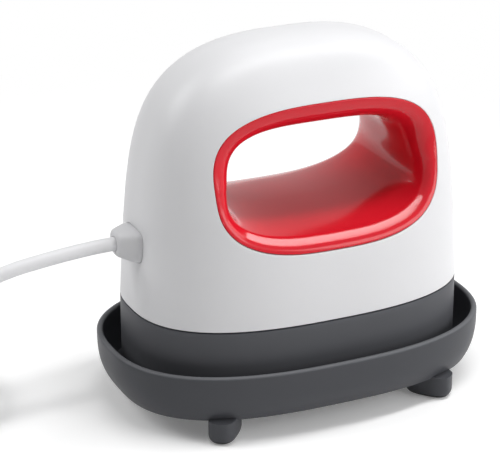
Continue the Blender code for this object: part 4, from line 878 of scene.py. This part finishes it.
# Painted highlight: by height, the rim's top is mixed from the tray's tone to a lighter one, standing in
# for the light on the round rim.
tree = tray_grey.node_tree
shader = tree.nodes["Principled BSDF"]
surface = shader.inputs["Base Color"].links[0].from_node
place, part, rim_highlight_mix = (add_node(tree, kind) for kind in ("TexCoord", "SeparateXYZ", "Mix"))
painted_highlight_mask = add_node(tree, "MapRange", From_Min=HIGHLIGHT_FOOT, From_Max=HIGHLIGHT_TOP)
painted_highlight_mask.interpolation_type = "SMOOTHSTEP"
rim_highlight_mix.data_type = "RGBA"
set_inputs(rim_highlight_mix, {"B": PAINTED_HIGHLIGHT_TONE})
wire(
    tree,
    (place, "Object", part, "Vector"),
    (part, "Z", painted_highlight_mask, "Value"),
    (painted_highlight_mask, "Result", rim_highlight_mix, "Factor"),
    (surface, "Color", rim_highlight_mix, "A"),
    (rim_highlight_mix, "Result", shader, "Base Color"),
)
paint(tray, tray_grey)
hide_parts("safety_tray")
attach(tray, "root")
pad_rubber = moulded(
    "pad_rubber", (0.022, 0.022, 0.024), (0.030, 0.030, 0.032), (0.70, 0.85), 1800, 0.00004, patch=70
)
for number, (side_x, side_y) in enumerate(corners, 1):
    pad_height = PAD_TOP * np.linspace(0, 1, 9) ** PAD_SPREAD
    pad = make_piece(f"foot_pad_{number}", foot_rings(side_x, side_y, pad_height, count=80))
    paint(pad, pad_rubber)
    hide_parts(f"tray_foot_{number}")
    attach(pad, "root")

# Control end: a grey panel that follows the end wall, held in its opening, with a white push button in
# a round hole and three clear level lights above it.
BUTTON_RADIUS, BUTTON_FLANGE = 0.0075, 0.0095
BUTTON_HEIGHT = 0.1118
BUTTON_PROUD, BUTTON_CROWN = 0.0016, 0.0007
FLANGE_WALL, STEM_RADIUS = 0.0015, 0.0025
DOME_EDGE, DOME_FLAT = 0.0005, 0.0003
# the button's edge: how far in from its side, and how far up from its crown's foot
BUTTON_EDGE = ((0.0002, 0.00015), (0, -0.0002))
LIGHT_RADIUS, LIGHT_PROUD, LIGHT_GAP = 0.0020, 0.0003, 0.0002
LIGHT_RISE, LIGHT_PITCH = 0.003, 0.008
LENS_DROP, LENS_EDGE = 0.00025, 0.0006
PANEL_SIDES = 120
light_heights = [PANEL_MIDDLE + LIGHT_RISE + LIGHT_PITCH * step for step in range(3)]
panel_share = np.sin(np.linspace(0, np.pi / 2, 22))[1:]
panel_y, panel_z = sections(
    PANEL_HALF[0] * panel_share, PANEL_HALF[1] * panel_share, SQUARE_POWER, PANEL_SIDES
)
panel_skin = grid_points(end_reach(panel_y, PANEL_MIDDLE + panel_z), panel_y, PANEL_MIDDLE + panel_z)
middle_point = [(float(end_reach(0.0, PANEL_MIDDLE)), 0.0, PANEL_MIDDLE)]
middle_index = panel_skin.shape[0] * PANEL_SIDES
around = np.arange(PANEL_SIDES)
fan = np.stack([np.full_like(around, middle_index), around, np.roll(around, -1)], axis=-1)
panel = mesh_piece(
    "panel",
    np.concatenate([panel_skin.reshape(-1, 3), middle_point]),
    grid_faces(*panel_skin.shape[:2]).tolist() + fan.tolist(),
)
add_wall(panel, PANEL_EDGE)
button_half, light_half = [BUTTON_RADIUS + GAP] * 2, [LIGHT_RADIUS + LIGHT_GAP] * 2
holes = [end_bar("button_hole", *button_half, 2, BUTTON_HEIGHT)]
for number, height in enumerate(light_heights, 1):
    holes.append(end_bar(f"light_hole_{number}", *light_half, 2, height, count=48))
open_wall(panel, holes)
paint(panel, housing_grey)
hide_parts("control_panel")
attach(panel, "press")


def turned(name, profile, height, sides=72):
    """A part turned about a line along X at a height: rings of each radius at each place along it."""
    radius, x = np.array(profile).T
    y, z = sections(radius, radius, 2, sides)
    return make_piece(name, grid_points(x[:, None], y, height + z), sharp=50)


button_face = float(end_reach(0.0, BUTTON_HEIGHT)) + BUTTON_PROUD
dome = np.linspace(0.02, 1, 12) * (BUTTON_RADIUS - DOME_EDGE)
dome_drop = (BUTTON_CROWN - DOME_FLAT) * (dome / BUTTON_RADIUS) ** 2
flange_front = float(end_reach(0.0, BUTTON_HEIGHT + BUTTON_FLANGE)) - SHELL_WALL - 2 * GAP
button_profile = [
    *zip(dome, button_face - dome_drop),
    *[(BUTTON_RADIUS - inset, button_face - BUTTON_CROWN + up) for inset, up in BUTTON_EDGE],
    (BUTTON_RADIUS, flange_front),
    (BUTTON_FLANGE, flange_front),
    (BUTTON_FLANGE, flange_front - FLANGE_WALL),
    (STEM_RADIUS, flange_front - FLANGE_WALL),
    (STEM_RADIUS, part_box("power_button")[0].x),
]
button_white = moulded(
    "button_white", (0.77, 0.77, 0.785), (0.80, 0.80, 0.815), (0.26, 0.34), 2200, 0.000005, patch=60
)
button = paint(turned("button", button_profile, BUTTON_HEIGHT), button_white)
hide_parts("power_button")
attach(button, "button")
guide_clear = moulded(
    "guide_clear", (0.80, 0.83, 0.85), (0.84, 0.87, 0.88), (0.16, 0.24), 1500, 0.00001, patch=90,
    Transmission_Weight=0.7, IOR=1.49,
)
for number, height in enumerate(light_heights, 1):
    guide_face = float(end_reach(0.0, height)) + LIGHT_PROUD
    lens = np.linspace(0.04, 1, 8)
    guide_profile = [
        *zip(lens * LIGHT_RADIUS, guide_face - LENS_DROP * lens**4),
        (LIGHT_RADIUS, guide_face - LENS_EDGE),
        (LIGHT_RADIUS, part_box(f"level_light_{number}")[0].x),
    ]
    guide = turned(f"light_{number}", guide_profile, height, 48)
    paint(guide, guide_clear)
    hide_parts(f"level_light_{number}")
    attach(guide, "press")

# Felt mat: a black needled fibre mat, its upper edge rounded off, that lies on the tray's floor under
# the hot plate.
MAT_ROUND = 0.0008
mat_low, mat_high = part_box("tray_mat")
mat_edge = np.linspace(0, np.pi / 2, 6)
mat_inset = np.concatenate([[0], MAT_ROUND * (1 - np.cos(mat_edge))])
mat_height = np.concatenate([[mat_low.z], mat_high.z - MAT_ROUND * (1 - np.sin(mat_edge))])
mat_x, mat_y = sections(mat_high.x - mat_inset, mat_high.y - mat_inset, TRAY_POWERS[1], count=200)
felt_black = moulded(
    "felt_black", (0.020, 0.020, 0.022), (0.045, 0.045, 0.048), (0.90, 0.98), 1300, 0.0004, patch=420,
    Sheen_Weight=0.3,
)
mat = make_piece("mat", grid_points(mat_x, mat_y, mat_height[:, None]), sharp=60)
paint(mat, felt_black)
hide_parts("tray_mat")
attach(mat, "root")


# Inside the housing: the hot plate and its stack, the board, the wiring and the screws keep their own
# shapes, and take their own metals, fibres and plastics here.
def drawn_finish():
    """Node group for cast, rolled and turned metal on Object coordinates: a noise stretched along X gives
    fine lines, which mix two tones and two roughnesses and give the height."""
    group, given, taken, place = new_group(
        "drawn_finish",
        Color=("Tone", "Second Tone"),
        Float=("Smoothest", "Roughest"),
        Vector=("Stretch",),
    )
    scaled, fine_lines = add_node(group, "VectorMath"), add_node(group, "TexNoise", Scale=1)
    scaled.operation = "MULTIPLY"
    mix_tones(group, given, taken, fine_lines)
    wire(
        group,
        (place, "Object", scaled, 0),
        (given, "Stretch", scaled, 1),
        (scaled, "Vector", fine_lines, "Vector"),
        (fine_lines, "Fac", taken, "Height"),
    )
    return group


drawn_group = drawn_finish()


def metal(name, tone, second_tone, roughness, stretch, depth):
    """A metal with the drawn finish: stretch is the lines' scale along each axis."""
    look = {"Tone": (*tone, 1), "Second Tone": (*second_tone, 1), "Stretch": stretch}
    look["Smoothest"], look["Roughest"] = roughness
    return finished(name, drawn_group, look, depth, {"Metallic": 1})


plate_cast = metal(
    "plate_cast", (0.62, 0.63, 0.65), (0.72, 0.73, 0.74), (0.28, 0.42), (60, 700, 700), 0.00001
)
element_sheath = metal(
    "element_sheath", (0.34, 0.33, 0.32), (0.46, 0.44, 0.42), (0.35, 0.50), (200, 900, 900), 0.00001
)
shield_steel = metal(
    "shield_steel", (0.56, 0.57, 0.58), (0.66, 0.67, 0.68), (0.25, 0.38), (30, 1100, 1100), 0.000006
)
screw_zinc = metal(
    "screw_zinc", (0.58, 0.58, 0.58), (0.70, 0.70, 0.69), (0.25, 0.40), (900, 900, 90), 0.000008
)
fibre_felt = moulded(
    "fibre_felt", (0.55, 0.53, 0.47), (0.70, 0.67, 0.60), (0.92, 1.0), 1500, 0.0003, patch=300
)
switch_black = moulded(
    "switch_black", (0.018, 0.018, 0.020), (0.028, 0.028, 0.030), (0.38, 0.50), 2600, 0.00001, patch=80
)
fuse_white = moulded(
    "fuse_white", (0.74, 0.72, 0.68), (0.80, 0.78, 0.74), (0.45, 0.60), 2200, 0.00001, patch=200
)
board_green = moulded(
    "board_green", (0.012, 0.085, 0.035), (0.020, 0.125, 0.050), (0.28, 0.42), 900, 0.00002, patch=260
)
terminal_pale = moulded(
    "terminal_pale", (0.66, 0.65, 0.60), (0.72, 0.71, 0.66), (0.40, 0.50), 2200, 0.00001, patch=90
)
wire_sleeve = moulded(
    "wire_sleeve", (0.70, 0.70, 0.66), (0.82, 0.82, 0.78), (0.70, 0.85), 2600, 0.00006, patch=900
)
screws = [
    f"{kind}_{number}"
    for kind in ("plate_screw", "plate_spacer", "housing_screw", "liner_screw")
    for number in range(1, 5)
]
for material, names in (
    (plate_cast, ["heating_plate"]),
    (element_sheath, ["heating_element"]),
    (fibre_felt, ["insulation_felt"]),
    (shield_steel, ["heat_shield"]),
    (switch_black, ["thermistor", "power_switch", "cord_clamp", "board_cable"]),
    (fuse_white, ["thermal_fuse"]),
    (board_green, ["circuit_board"]),
    (terminal_pale, ["terminal_block"]),
    (lead_sheath, ["inner_lead"]),
    (wire_sleeve, ["heater_wire_1", "heater_wire_2"]),
    (screw_zinc, [*screws, "clamp_screw_1", "clamp_screw_2"]),
):
    for name in names:
        for material_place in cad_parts[name].material_slots:
            material_place.material = material

# Floor and light: a plain white table and a white room, soft lamps behind, to the right and in front,
# and a long narrow one overhead that draws the bright line along the liner's lower lip.
FLOOR_REACH = 6.0
PRESS_PLACE = (-0.09, 0)
FADE_START, FADE_END = 0.30, 0.60
ROOM_LIGHT = 0.14
MIRRORED_WHITE = 0.6
floor_corners = np.array([(-1, -1, 0), (1, -1, 0), (1, 1, 0), (-1, 1, 0)]) * FLOOR_REACH
floor = mesh_piece("floor", floor_corners, [[0, 1, 2, 3]])


def seen_rays(tree):
    """A node with the value 1 for rays that show what they meet, which come from the camera, off gloss
    or through glass, and 0 for the rest; also the Light Path node."""
    path, mirrored, seen = (add_node(tree, kind) for kind in ("LightPath", "Math", "Math"))
    mirrored.operation = seen.operation = "MAXIMUM"
    wire(
        tree,
        (path, "Is Camera Ray", mirrored, 0),
        (path, "Is Glossy Ray", mirrored, 1),
        (mirrored, "Value", seen, 0),
        (path, "Is Transmission Ray", seen, 1),
    )
    return seen, path


table_white = bpy.data.materials.new("table_white")
table_white.use_nodes = True
tree = table_white.node_tree
tree.nodes.remove(tree.nodes["Principled BSDF"])
plain, bright = (add_node(tree, "BsdfDiffuse", Color=(tone, tone, tone, 1)) for tone in (0.80, 1.0))
glow, far_white = (add_node(tree, "Emission", Strength=strength) for strength in (ROOM_LIGHT, 1.0))
near_white, fading, chosen = (add_node(tree, kind) for kind in ("AddShader", "MixShader", "MixShader"))
place, away = add_node(tree, "TexCoord"), add_node(tree, "VectorMath")
away.operation = "LENGTH"
centred = add_node(tree, "Mapping", Location=(-PRESS_PLACE[0], -PRESS_PLACE[1], 0))
fade = add_node(tree, "MapRange", From_Min=FADE_START, From_Max=FADE_END)
fade.interpolation_type = "SMOOTHSTEP"
seen = seen_rays(tree)[0]
wire(
    tree,
    (bright, "BSDF", near_white, 0),
    (glow, "Emission", near_white, 1),
    (place, "Object", centred, "Vector"),
    (centred, "Vector", away, 0),
    (away, "Value", fade, "Value"),
    (fade, "Result", fading, "Fac"),
    (near_white, "Shader", fading, 1),
    (far_white, "Emission", fading, 2),
    (seen, "Value", chosen, "Fac"),
    (plain, "BSDF", chosen, 1),
    (fading, "Shader", chosen, 2),
    (chosen, "Shader", tree.nodes["Material Output"], "Surface"),
)
floor.data.materials.append(table_white)

world = bpy.data.worlds.new("room")
bpy.context.scene.world = world
world.use_nodes = True
tree = world.node_tree
white = (1, 1, 1, 1)
room = set_inputs(tree.nodes["Background"], {"Color": white, "Strength": ROOM_LIGHT})
backdrop = add_node(tree, "Background", Color=white, Strength=MIRRORED_WHITE)
behind = add_node(tree, "Background", Color=white, Strength=1.0)
mirrored, chosen = add_node(tree, "MixShader"), add_node(tree, "MixShader")
seen, path = seen_rays(tree)
wire(
    tree,
    (seen, "Value", mirrored, "Fac"),
    (room, "Background", mirrored, 1),
    (backdrop, "Background", mirrored, 2),
    (path, "Is Camera Ray", chosen, "Fac"),
    (mirrored, "Shader", chosen, 1),
    (behind, "Background", chosen, 2),
    (chosen, "Shader", tree.nodes["World Output"], "Surface"),
)


def soft_light(name, place, aim, size, power, turn=0.0):
    """A rectangular soft light, width by height, that looks at a point, turned about its own axis."""
    lamp = bpy.data.lights.new(name, "AREA")
    lamp.shape = "RECTANGLE"
    lamp.size, lamp.size_y = size
    lamp.energy = power
    light = bpy.data.objects.new(name, lamp)
    bpy.context.scene.collection.objects.link(light)
    light.location = place
    light.rotation_euler = (Vector(aim) - Vector(place)).to_track_quat("-Z", "Y").to_euler()
    light.rotation_euler.rotate_axis("Z", turn)


soft_light("strip", (0.5, -0.15, 1.25), (0.5, -0.15, 0), (1.75, 0.17), 10.8, np.radians(12))
soft_light("back", (0.4, 0.5, 1.75), (0, 0, 0.1), (1.2, 1.2), 2.9)
soft_light("left_back", (-1.2, 0.6, 1.2), (0, 0, 0.1), (1.0, 1.0), 12)
soft_light("right", (1.6, -0.5, 0.9), (0, 0, 0.1), (1.0, 1.0), 7.0)
soft_light("front_right", (1.1, -1.35, 0.7), (0, 0, 0.1), (1.0, 1.0), 13.8)
